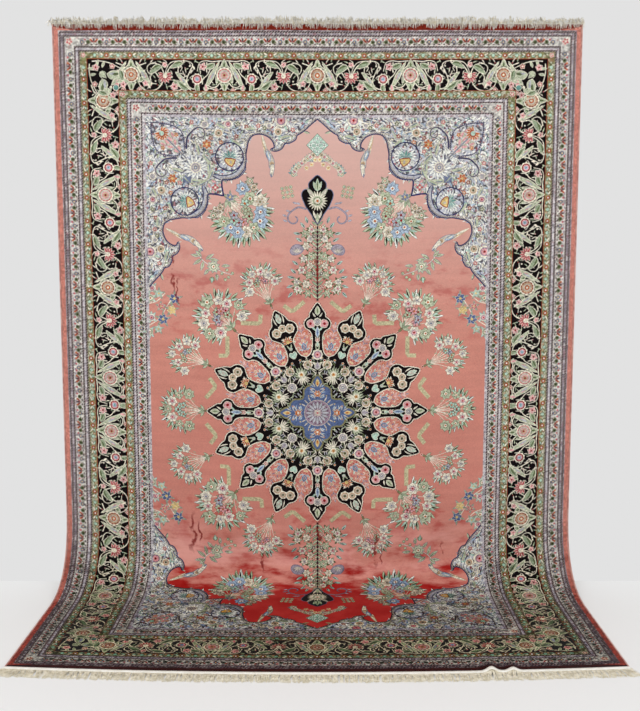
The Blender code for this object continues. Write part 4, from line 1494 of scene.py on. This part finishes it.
# %% Pile material
KNOT_WIDTH, KNOT_HEIGHT = 0.0016, 0.0016
DOT_PITCH, FLECK, GRAIN = 0.0094, 0.0070, 0.0040
# Where the painted shade of the bend and the floor begins, along the rug in metres.
FLOOR_SHADE_FROM = 1.97
# Lines of painted crease shade.
CREASE_SHADE_LINES = (  # across, from, to, half width, all in metres
    (-0.510, 0.78, 0.95, 0.007), (-0.495, 0.86, 0.99, 0.005), (-0.455, 1.72, 1.90, 0.008),
    (-0.43, 1.76, 1.86, 0.006),
    (0.0, 0.78, 0.93, 0.006), (0.004, 1.74, 1.86, 0.008), (-0.20, 1.86, 1.96, 0.007),
    (0.21, 1.78, 1.95, 0.006),
    (0.235, 1.84, 1.94, 0.005), (0.455, 1.84, 1.92, 0.006),
)


def apart(material, value, middle):
    """How far a value lies from a middle one."""
    return maths(material, "ABSOLUTE", maths(material, "SUBTRACT", value, middle))

def flat_place(material):
    return add_node(material, "UVMap", uv_map="flat").outputs[0]


def cell_draws(material, place, size):
    """Three random shares for each small patch of about one size, as separate outputs."""
    cells = add_node(material, "TexVoronoi", {"Vector": place, "Scale": 1.0 / size},
                     voronoi_dimensions="2D")
    return add_node(material, "SeparateColor", {0: cells.outputs["Color"]}).outputs


def flecked(material, place, ground):
    """A ground with its finest leaves and stems, each of them only a few knots of another silk."""
    draws = cell_draws(material, place, FLECK)
    dark = maths(material, "LESS_THAN", draws[0], 0.30)
    pale = maths(material, "GREATER_THAN", draws[0], 0.68)
    red = maths(material, "GREATER_THAN", draws[1], 0.90)
    spotted = blend(material, maths(material, "MULTIPLY", dark, 0.82), ground, tint(58, 50, 54))
    spotted = blend(material, maths(material, "MULTIPLY", pale, 0.72), spotted, tint(232, 230, 220))
    return blend(material, maths(material, "MULTIPLY", red, 0.7), spotted, tint(150, 70, 72))


def dotted_line(material, across, along, silk):
    """Pale knots in a dark line, closer than an eye can count from a step away."""
    way = maths(material, "ADD", across, along)
    wave = maths(material, "SINE", maths(material, "MULTIPLY", way, 2.0 * math.pi / DOT_PITCH))
    return blend(material, maths(material, "GREATER_THAN", wave, 0.5), silk, tint(186, 166, 164))


def pile_colour(material, place):
    """Silk colour of each knot, with flecks, dots and dye changes; also which knots are salmon."""
    silk = add_node(material, "Attribute", attribute_name="silk")
    colour, kind = silk.outputs["Color"], silk.outputs["Alpha"]
    salmon = maths(material, "COMPARE", kind, 0.5, 0.1)
    parts = add_node(material, "SeparateXYZ", {0: place})
    across, along = parts.outputs[0], parts.outputs[1]
    busy = maths(material, "MULTIPLY_ADD", maths(material, "COMPARE", kind, 0.9, 0.05), 0.52,
                 maths(material, "COMPARE", kind, 0.75, 0.05))
    base = blend(material, busy, colour, flecked(material, place, colour))
    base = blend(material, maths(material, "LESS_THAN", kind, 0.2), base,
                 dotted_line(material, across, along, colour))
    knots = add_node(material, "VectorMath", {0: place, 1: (KNOT_WIDTH, KNOT_HEIGHT, 1.0)},
                     operation="SNAP").outputs[0]
    jitter = add_node(material, "TexWhiteNoise", {"Vector": knots}, noise_dimensions="2D").outputs[0]
    hanks = noise(material, scaled(material, place, (0.7, 9.0, 1.0)), 3.0, 3.0, 0.6)
    cloud = noise(material, place, 3.4, 3.0, 0.55)
    strength = maths(material, "ADD", between(material, hanks, 0.3, 0.7, 0.93, 1.05),
                     between(material, jitter, 0.0, 1.0, -0.07, 0.07, False))
    strength = maths(material, "ADD", strength, between(material, cloud, 0.3, 0.7, -0.05, 0.05))
    grain = between(material, cell_draws(material, place, GRAIN)[0], 0.0, 1.0, -0.34, 0.20, False)
    grain = maths(material, "MULTIPLY", grain, between(material, salmon, 0.0, 1.0, 1.0, 0.16, False))
    strength = maths(material, "ADD", strength, grain)
    shade = add_node(material, "CombineColor", {0: strength, 1: strength, 2: strength})
    return blend(material, 1.0, base, shade, "MULTIPLY"), salmon, across, along


def painted_field_shade_and_sheen(material, colour, salmon, along, place):
    """Painted shade as redder blotches in the plain salmon where the pile was folded, a deeper tone lower
    down, and a painted pale pink sheen on the bend.
    """
    low = maths(material, "MULTIPLY", salmon, between(material, along, 1.0, 1.7, 0.0, 0.22))
    colour = blend(material, low, colour, tint(204, 118, 108))
    # Painted shade: redder blotches in the two bands where the pile was folded.
    blotch = noise(material, scaled(material, place, (1.0, 1.8, 1.0)), 11.0, 5.0, 0.62)
    fold_shade = maths(material, "MULTIPLY", salmon, between(material, blotch, 0.48, 0.66, 0.0, 0.68))
    first = between(material, apart(material, along, 0.92), 0.04, 0.26, 1.0, 0.0)
    second = between(material, apart(material, along, 1.82), 0.05, 0.24, 1.0, 0.1)
    share_of_fold_shade = maths(material, "MULTIPLY", fold_shade, maths(material, "MAXIMUM", first, second))
    colour = blend(material, share_of_fold_shade, colour, tint(168, 62, 58))
    # Painted highlight: a pale pink sheen along the bend.
    bend_sheen_noise = noise(material, scaled(material, place, (1.0, 2.6, 1.0)), 5.0, 4.0, 0.6)
    bend_sheen_band = between(material, apart(material, along, 1.87), 0.0, 0.16, 1.0, 0.0)
    pale = maths(material, "MULTIPLY", maths(material, "MULTIPLY", salmon, bend_sheen_band),
                 between(material, bend_sheen_noise, 0.40, 0.62, 0.0, 0.62))
    return blend(material, pale, colour, tint(232, 168, 158))


def painted_bend_and_floor_shade(material, colour, salmon, place, along):
    """Painted shade: the pile seen against its lean, on the bend and the floor, is painted deep and
    reddish, and the other silks darker.
    """
    patches = noise(material, scaled(material, place, (1.0, 2.4, 1.0)), 7.0, 5.0, 0.6)
    edge = maths(material, "ADD", along, between(material, patches, 0.30, 0.70, -0.14, 0.14, False))
    lying = between(material, edge, FLOOR_SHADE_FROM - 0.07, FLOOR_SHADE_FROM + 0.10)
    far = between(material, edge, FLOOR_SHADE_FROM - 0.30, FLOOR_SHADE_FROM + 0.34)
    dark = add_node(material, "Gamma", {0: colour, 1: 2.15})
    shaded_silks = blend(material, 1.0, dark, tint(240, 242, 246), "MULTIPLY")
    shade_mottle = noise(material, place, 9.0, 4.0, 0.6)
    red = blend(material, between(material, shade_mottle, 0.35, 0.7), tint(146, 22, 20), tint(164, 42, 38))
    plain = blend(material, lying, colour, red)
    return blend(material, salmon, blend(material, far, colour, shaded_silks), plain)


def painted_top_sheen(material, colour, salmon, along):
    """Painted sheen: high up the pile is seen along its lean, and the plain salmon is painted pale and pink
    there.
    """
    high = maths(material, "MULTIPLY", salmon, between(material, along, 0.15, 1.20, 0.62, 0.0))
    return blend(material, high, colour, tint(216, 194, 186))


def painted_crease_shade(material, colour, across, along, place):
    """Painted shade: short dark red lines where the pile has parted along an old crease."""
    wander = between(material, noise(material, place, 26.0, 4.0), 0.2, 0.8, -0.016, 0.016, False)
    gaps = between(material, noise(material, place, 34.0, 3.0), 0.36, 0.50)
    for x, start, end, width in CREASE_SHADE_LINES:
        sideways = apart(material, maths(material, "ADD", across, wander), x)
        line = between(material, sideways, 0.2 * width, width, 1.0, 0.0)
        middle, half = 0.5 * (start + end), 0.5 * (end - start)
        lengthwise = apart(material, along, middle)
        fade = between(material, lengthwise, 0.4 * half, half, 0.9, 0.0)
        crease_shade_mask = maths(material, "MULTIPLY", maths(material, "MULTIPLY", line, fade), gaps)
        colour = blend(material, crease_shade_mask, colour, tint(122, 38, 36))
    return colour


def pile_material():
    material, shader = new_material("silk pile")
    place = flat_place(material)
    colour, salmon, across, along = pile_colour(material, place)
    colour = painted_field_shade_and_sheen(material, colour, salmon, along, place)
    colour = painted_bend_and_floor_shade(material, painted_top_sheen(material, colour, salmon, along), salmon, place, along)
    colour = painted_crease_shade(material, colour, across, along, place)
    material.node_tree.links.new(colour, shader.inputs["Base Color"])
    shader.inputs["Roughness"].default_value = 0.66
    shader.inputs["Specular IOR Level"].default_value = 0.06
    shader.inputs["Sheen Weight"].default_value = 0.04
    shader.inputs["Sheen Roughness"].default_value = 0.4
    rows = maths(material, "SINE", maths(material, "MULTIPLY", along, 2.0 * math.pi / KNOT_HEIGHT))
    columns = maths(material, "SINE", maths(material, "MULTIPLY", across, 2.0 * math.pi / KNOT_WIDTH))
    relief = maths(material, "ADD", rows, columns)
    bump = add_node(material, "Bump", {"Height": relief, "Strength": 0.12, "Distance": 0.0006})
    material.node_tree.links.new(bump.outputs[0], shader.inputs["Normal"])
    return material


silk_pile = pile_material()
print("silk pile:", len(silk_pile.node_tree.nodes), "nodes")

# %% Back, cord and fringe materials
def back_material():
    """The woven back: the same knots, flatter and ribbed across by the weft."""
    material, shader = new_material("knotted back")
    colour, _, _, along = pile_colour(material, flat_place(material))
    pale = blend(material, 0.28, colour, tint(214, 200, 176))
    material.node_tree.links.new(pale, shader.inputs["Base Color"])
    shader.inputs["Roughness"].default_value = 0.85
    shader.inputs["Specular IOR Level"].default_value = 0.15
    rows = maths(material, "SINE", maths(material, "MULTIPLY", along, 2.0 * math.pi / 0.0022))
    bump = add_node(material, "Bump", {"Height": rows, "Strength": 0.35, "Distance": 0.0008})
    material.node_tree.links.new(bump.outputs[0], shader.inputs["Normal"])
    return material


def thread_material(name, colour, other, roughness=0.6, sheen=0.3, scale=60.0):
    """Twisted thread, with light and dark lengths."""
    material, shader = new_material(name)
    spots = add_node(material, "TexCoord").outputs["Object"]
    shades = blend(material, between(material, noise(material, spots, scale, 3.0), 0.35, 0.65), colour,
                   other)
    material.node_tree.links.new(shades, shader.inputs["Base Color"])
    shader.inputs["Roughness"].default_value = roughness
    shader.inputs["Specular IOR Level"].default_value = 0.3
    shader.inputs["Sheen Weight"].default_value = sheen
    return material


knotted_back = back_material()
cord_silk = thread_material("selvedge silk", tint(206, 160, 148), tint(176, 116, 106))
warp_ends = thread_material("warp ends", tint(252, 244, 224), tint(224, 214, 188), 0.7, 0.10, 90.0)
top_ends = thread_material("upper warp ends", tint(255, 253, 246), tint(238, 228, 204), 0.7, 0.2, 120.0)
web_silk = thread_material("web", tint(250, 248, 240), tint(238, 234, 222), 0.7, 0.1, 70.0)
print("materials:", [material.name for material in bpy.data.materials])

# %% [markdown]
# ## The parts of the cloth
# The pile face is laid first, parted by the lines of the design. Then comes the back: on the
# real rug it shows the same knots from behind, so it takes its silks from the same cartoon
# without a second drawing, on a plain net of its own, and lies on the foundation.

# %% Lay the pile
def region_of(middles):
    """Number of the part that each triangle belongs to, by its place in the design."""
    x = 1000.0 * np.abs(middles[:, 0])
    y = np.abs(1000.0 * middles[:, 1] - HALF_LENGTH)
    out = np.maximum(x - FIELD_HALF_WIDTH, y - FIELD_HALF_LENGTH)
    edges = {name: (inner, outer) for name, inner, outer, silk in band_rows}
    region = np.where(out < 0.0, 0, 3)
    region = np.where((out < 0.0) & (np.hypot(x, y) < 400.0), 1, region)
    region = np.where((out < 0.0) & (x + y > 1170.0) & (y > 430.0), 2, region)
    region = np.where(out > edges["main border"][0] - 2.6, 4, region)
    region = np.where(out > edges["main border"][1] + 2.6, 5, region)
    return np.where((region == 0) & (1000.0 * middles[:, 1] > HALF_LENGTH), 6, region)


PILE_PARTS = ("pile_upper_field", "pile_medallion", "pile_corners", "pile_inner_guards", "pile_main_border",
              "pile_outer_guards", "pile_lower_field")
net_regions = region_of(net_places[net_triangles].mean(1))
pile_pieces = []
for number, name in enumerate(PILE_PARTS):
    chosen = net_regions == number
    piece = cloth_piece(name, net_places, net_triangles[chosen], RUG_THICKNESS, silk_pile,
                        net_silks[chosen])
    pile_pieces.append(piece)
    print(name, len(piece.data.polygons), "triangles")

# %% Back
BACK_COLUMNS, BACK_ROWS = 116, 170


def plain_back():
    """The back as a regular net of places and triangles."""
    columns = np.linspace(-HALF_WIDTH * MM, HALF_WIDTH * MM, BACK_COLUMNS)
    rows = np.linspace(0.0, RUG_LENGTH, BACK_ROWS)
    places = np.stack(np.meshgrid(columns, rows), -1).reshape(-1, 2)
    first = (np.arange(BACK_ROWS - 1)[:,
                                      None] * BACK_COLUMNS + np.arange(BACK_COLUMNS - 1)[None, :]).ravel()
    lower = np.stack((first, first + BACK_COLUMNS, first + BACK_COLUMNS + 1), -1)
    upper = np.stack((first, first + BACK_COLUMNS + 1, first + 1), -1)
    return places, np.concatenate((lower, upper))


back_places, back_faces = plain_back()
back_middles = back_places[back_faces].mean(1)
back_spots = np.stack((1000.0 * np.abs(back_middles[:, 0]),
                       np.abs(1000.0 * back_middles[:, 1] - HALF_LENGTH)), -1)
back = cloth_piece("knotted_back", back_places, back_faces, 0.0, knotted_back, silks_below(back_spots),
                   True)
print("back:", len(back.data.polygons), "triangles")

# %% [markdown]
# ## The overcast edges
# Along both long sides the weaver winds a thread of the field's salmon silk around a few
# outer warps. It makes a round cord with slanting turns. Each turn is only a small swelling,
# so the cord is one tube whose radius rises and falls along a slow screw line.

# %% Side cords
CORD_SIDES, TURN_LENGTH, TURN_STEPS = 6, 0.0036, 3


def side_cord(name, side):
    steps = int(RUG_LENGTH / TURN_LENGTH * TURN_STEPS)
    along = np.linspace(0.0, RUG_LENGTH, steps + 1)
    across = np.full_like(along, side * (0.5 * RUG_WIDTH - CORD_RADIUS))
    middle = surface(across, along, CORD_RADIUS)
    out = surface_normals(across, along, CORD_RADIUS)
    ahead = np.gradient(middle, axis=0)
    ahead /= np.linalg.norm(ahead, axis=1)[:, None]
    sideways = np.cross(ahead, out)
    rings = []
    for number in range(CORD_SIDES):
        angle = 2.0 * math.pi * number / CORD_SIDES
        phase = 2.0 * math.pi * along / TURN_LENGTH + angle
        radius = CORD_RADIUS * (0.93 + 0.07 * np.sin(phase))
        rings.append(middle + radius[:, None] * (math.cos(angle) * out + math.sin(angle) * sideways))
    points = np.stack(rings, 1).reshape(-1, 3)
    faces = []
    for row in range(steps):
        for number in range(CORD_SIDES):
            here, following = row * CORD_SIDES + number, row * CORD_SIDES + (number + 1) % CORD_SIDES
            faces.append((here, following, following + CORD_SIDES, here + CORD_SIDES))
    faces.append(tuple(reversed(range(CORD_SIDES))))
    faces.append(tuple(range(len(points) - CORD_SIDES, len(points))))
    return new_piece(name, points.tolist(), faces, cord_silk)


left_cord, right_cord = side_cord("cord_left", -1.0), side_cord("cord_right", 1.0)
print("cord:", len(left_cord.data.polygons), "faces")

# %% [markdown]
# ## The fringes
# When the rug leaves the loom its warps are cut and left as fringe. The upper end is short,
# matted and droops over the first rows of pile. The lower end lies on the floor in a
# thin white line of plain weave with cream threads beyond it. Each thread is a thin tube
# with three sides, which is enough at this size, and they are joined into one mesh an end.

# %% Thread helper
def thread_tubes(name, paths, radii, material, sides=3):
    """One mesh of tapering threads, from arrays of points along each."""
    points, faces = [], []
    ring = [2.0 * math.pi * number / sides for number in range(sides)]
    for path, radius in zip(paths, radii):
        ahead = np.gradient(path, axis=0)
        ahead /= np.linalg.norm(ahead, axis=1)[:, None] + 1e-12
        sideways = np.cross(ahead, (0.31, 0.27, 0.91))
        sideways /= np.linalg.norm(sideways, axis=1)[:, None] + 1e-12
        upward = np.cross(sideways, ahead)
        taper = radius * np.linspace(1.0, 0.55, len(path))[:, None]
        start = len(points)
        rings = [path + taper * (math.cos(angle) * sideways + math.sin(angle) * upward) for angle in ring]
        points.extend(np.stack(rings, 1).reshape(-1, 3).tolist())
        for row in range(len(path) - 1):
            for number in range(sides):
                here = start + row * sides + number
                following = start + row * sides + (number + 1) % sides
                faces.append((here, following, following + sides, here + sides))
        faces.append(tuple(range(start + sides - 1, start - 1, -1)))
        faces.append(tuple(range(len(points) - sides, len(points))))
    return new_piece(name, points, faces, material)


print("threads of 3 sides")

# %% Upper fringe
TOP_TUFTS, TOP_THREADS = 210, 13
thread_draw = random.Random(31)


def top_fringe():
    """Tufts that stand up from the upper end, curl over and droop on the first rows of pile."""
    paths, radii = [], []
    for tuft in range(TOP_TUFTS):
        root = RUG_WIDTH * ((tuft + 0.5) / TOP_TUFTS - 0.5)
        lean, size = thread_draw.uniform(-0.010, 0.010), thread_draw.uniform(0.6, 1.1)
        for _ in range(TOP_THREADS):
            foot = root + thread_draw.uniform(-0.0060, 0.0060)
            rise = 0.023 * size * thread_draw.uniform(0.3, 1.1)
            droop = 0.020 * size * thread_draw.uniform(-0.3, 1.2)
            out = thread_draw.uniform(0.004, 0.013)
            drift = lean + thread_draw.uniform(-0.011, 0.011)
            base = surface(np.array([foot]), np.array([0.0]), 0.0025)[0]
            steps = ((0, 0, -0.003), (0.3 * drift, -0.3 * out, 0.7 * rise), (0.7 * drift, -0.8 * out, rise),
                     (drift, -1.1 * out, 0.55 * rise - 0.4 * droop),
                     (1.2 * drift, -1.0 * out, 0.25 * rise - droop))
            paths.append(base + np.array(steps))
            radii.append(thread_draw.uniform(0.0008, 0.0014))
    return thread_tubes("fringe_threads_top", paths, radii, top_ends)


fringe_top_threads = top_fringe()
print("upper fringe:", len(fringe_top_threads.data.polygons), "faces")

# %% Lower fringe
LOWER_LOCKS, LOWER_THREADS = 260, 13
FLOOR = -HANG_HEIGHT


def floor_fringe():
    """Locks of threads that leave the lower edge and lie on the floor, splayed at the corners."""
    paths, radii = [], []
    for lock in range(LOWER_LOCKS):
        root = 0.997 * RUG_WIDTH * ((lock + 0.5) / LOWER_LOCKS - 0.5)
        corner = max(0.0, abs(root) - 0.80) / 0.115
        splay = math.copysign(0.026 * corner ** 2, root) + thread_draw.uniform(-0.003, 0.003)
        reach = thread_draw.uniform(0.054, 0.062)
        bend = thread_draw.uniform(-0.004, 0.004)
        for _ in range(LOWER_THREADS):
            foot = root + thread_draw.uniform(-0.0042, 0.0042)
            base = surface(np.array([foot]), np.array([RUG_LENGTH]), 0.0026)[0]
            own = reach * thread_draw.uniform(0.86, 1.05)
            gather = (root - foot) * 0.3
            side = splay + thread_draw.uniform(-0.0035, 0.0035)
            rest = FLOOR + thread_draw.uniform(0.0008, 0.0042)
            path = [base + (0, 0.002, 0),
                    (base[0] + gather + 0.25 * side, base[1] - 0.30 * own, 0.5 * (base[2] + rest) + 0.001),
                    (base[0] + gather + 0.60 * side + bend, base[1] - 0.64 * own, rest),
                    (base[0] + side, base[1] - own, FLOOR + 0.0008)]
            paths.append(np.array(path))
            radii.append(thread_draw.uniform(0.0008, 0.0013))
    return thread_tubes("fringe_threads_bottom", paths, radii, warp_ends)


fringe_bottom_threads = floor_fringe()
print("lower fringe:", len(fringe_bottom_threads.data.polygons), "faces")

# %% Web strips
def web_strip(name, along_from, along_to, height, thickness, material):
    """The narrow plain weave at an end, a flat closed band that follows the edge."""
    columns = np.linspace(-0.5 * RUG_WIDTH + 0.001, 0.5 * RUG_WIDTH - 0.001, 320)
    rows = np.linspace(along_from, along_to, 3)
    points, faces = [], []
    for level in (height, height - thickness):
        for row in rows:
            clamped = np.full_like(columns, np.clip(row, 0.0, RUG_LENGTH))
            line = surface(columns, clamped, level)
            extra = row - np.clip(row, 0.0, RUG_LENGTH)
            line[:, 1 if row > 1.0 else 2] -= extra
            points.extend(line.tolist())
    count = len(columns)
    for level in (0, 1):
        for row in (0, 1):
            for number in range(count - 1):
                here = (level * 3 + row) * count + number
                face = (here, here + count, here + count + 1, here + 1)
                faces.append(face if level == 0 else face[::-1])
    for number in range(count - 1):
        top, bottom = number, 3 * count + number
        faces.append((top, top + 1, bottom + 1, bottom))
        top, bottom = 2 * count + number, 5 * count + number
        faces.append((top, bottom, bottom + 1, top + 1))
    return new_piece(name, points, faces, material)


top_web = web_strip("web_top", -0.007, 0.0005, 0.0045, 0.003, top_ends)
bottom_web = web_strip("web_bottom", RUG_LENGTH - 0.0005, RUG_LENGTH + 0.014, 0.0050, 0.004, web_silk)
print("webs:", len(top_web.data.polygons), len(bottom_web.data.polygons), "faces")

# %% [markdown]
# ## Riding on the frame
# Nothing on a hung rug moves, so all parts ride on the root. Each one stands in for the solid
# that it was made from. The cloth was cut, or rather woven, flat.

# %% Ride and replace
stand_ins = {"rug": pile_pieces + [back], "selvedge_left": [left_cord], "selvedge_right": [right_cord],
             "fringe_top": [top_web, fringe_top_threads],
             "fringe_bottom": [bottom_web, fringe_bottom_threads]}
for node, pieces in stand_ins.items():
    for piece in pieces:
        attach(piece, "root")
        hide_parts(node)
print("stand-ins:", {node: len(pieces) for node, pieces in stand_ins.items()})

# %% [markdown]
# ## Floor, light and camera
# The photo is a plain studio picture: a pale wall and floor without a line between them, light
# from all round, and a camera at chest height that looks slightly down from 3.5 m away. The
# wall is only the pale background, because a wall would belong to the room and not to the rug.

# %% Floor and background
WALL_SHADE = (0.80, 0.80, 0.80, 1.0)
floor_material, floor_shader = new_material("studio floor")
floor_shader.inputs["Base Color"].default_value = (0.88, 0.88, 0.875, 1.0)
floor_shader.inputs["Roughness"].default_value = 0.9
floor_mesh = bpy.data.meshes.new("studio_floor")
floor_corners = [(-14, -14, FLOOR), (14, -14, FLOOR), (14, 0.002, FLOOR), (-14, 0.002, FLOOR)]
floor_mesh.from_pydata(floor_corners, [], [(0, 1, 2, 3)])
floor_mesh.materials.append(floor_material)
studio_floor = bpy.data.objects.new("studio_floor", floor_mesh)
bpy.context.scene.collection.objects.link(studio_floor)
world = bpy.data.worlds.new("studio")
world.use_nodes = True
world.node_tree.nodes["Background"].inputs["Color"].default_value = WALL_SHADE
world.node_tree.nodes["Background"].inputs["Strength"].default_value = 0.95
bpy.context.scene.world = world
bpy.context.scene.view_settings.view_transform = "Standard"
print("background", WALL_SHADE)

# %% Lights
def soft_light(name, place, target, size, watts):
    """A large square light that looks at a point."""
    lamp = bpy.data.lights.new(name, "AREA")
    lamp.size, lamp.energy = size, watts
    light = bpy.data.objects.new(name, lamp)
    light.location = place
    light.rotation_euler = (Vector(target) - Vector(place)).to_track_quat("-Z", "Y").to_euler()
    bpy.context.scene.collection.objects.link(light)
    return light


soft_light("key", (-1.6, -4.2, 1.6), (0.0, 0.0, -0.9), 2.6, 70.0)
soft_light("fill", (2.6, -3.6, 0.6), (0.0, 0.0, -1.0), 2.2, 26.0)

# %% Camera
camera_lens = bpy.data.cameras.new("camera")
camera_lens.sensor_fit, camera_lens.sensor_width, camera_lens.lens = "HORIZONTAL", 36.0, 55.0
camera = bpy.data.objects.new("camera", camera_lens)
camera.location = (0.009, -3.478, -0.749)
camera.rotation_euler = (math.radians(90.0 - 6.55), 0.0, 0.0)
bpy.context.scene.collection.objects.link(camera)
bpy.context.scene.camera = camera
print("camera at", tuple(round(value, 3) for value in camera.location), "lens", camera_lens.lens)
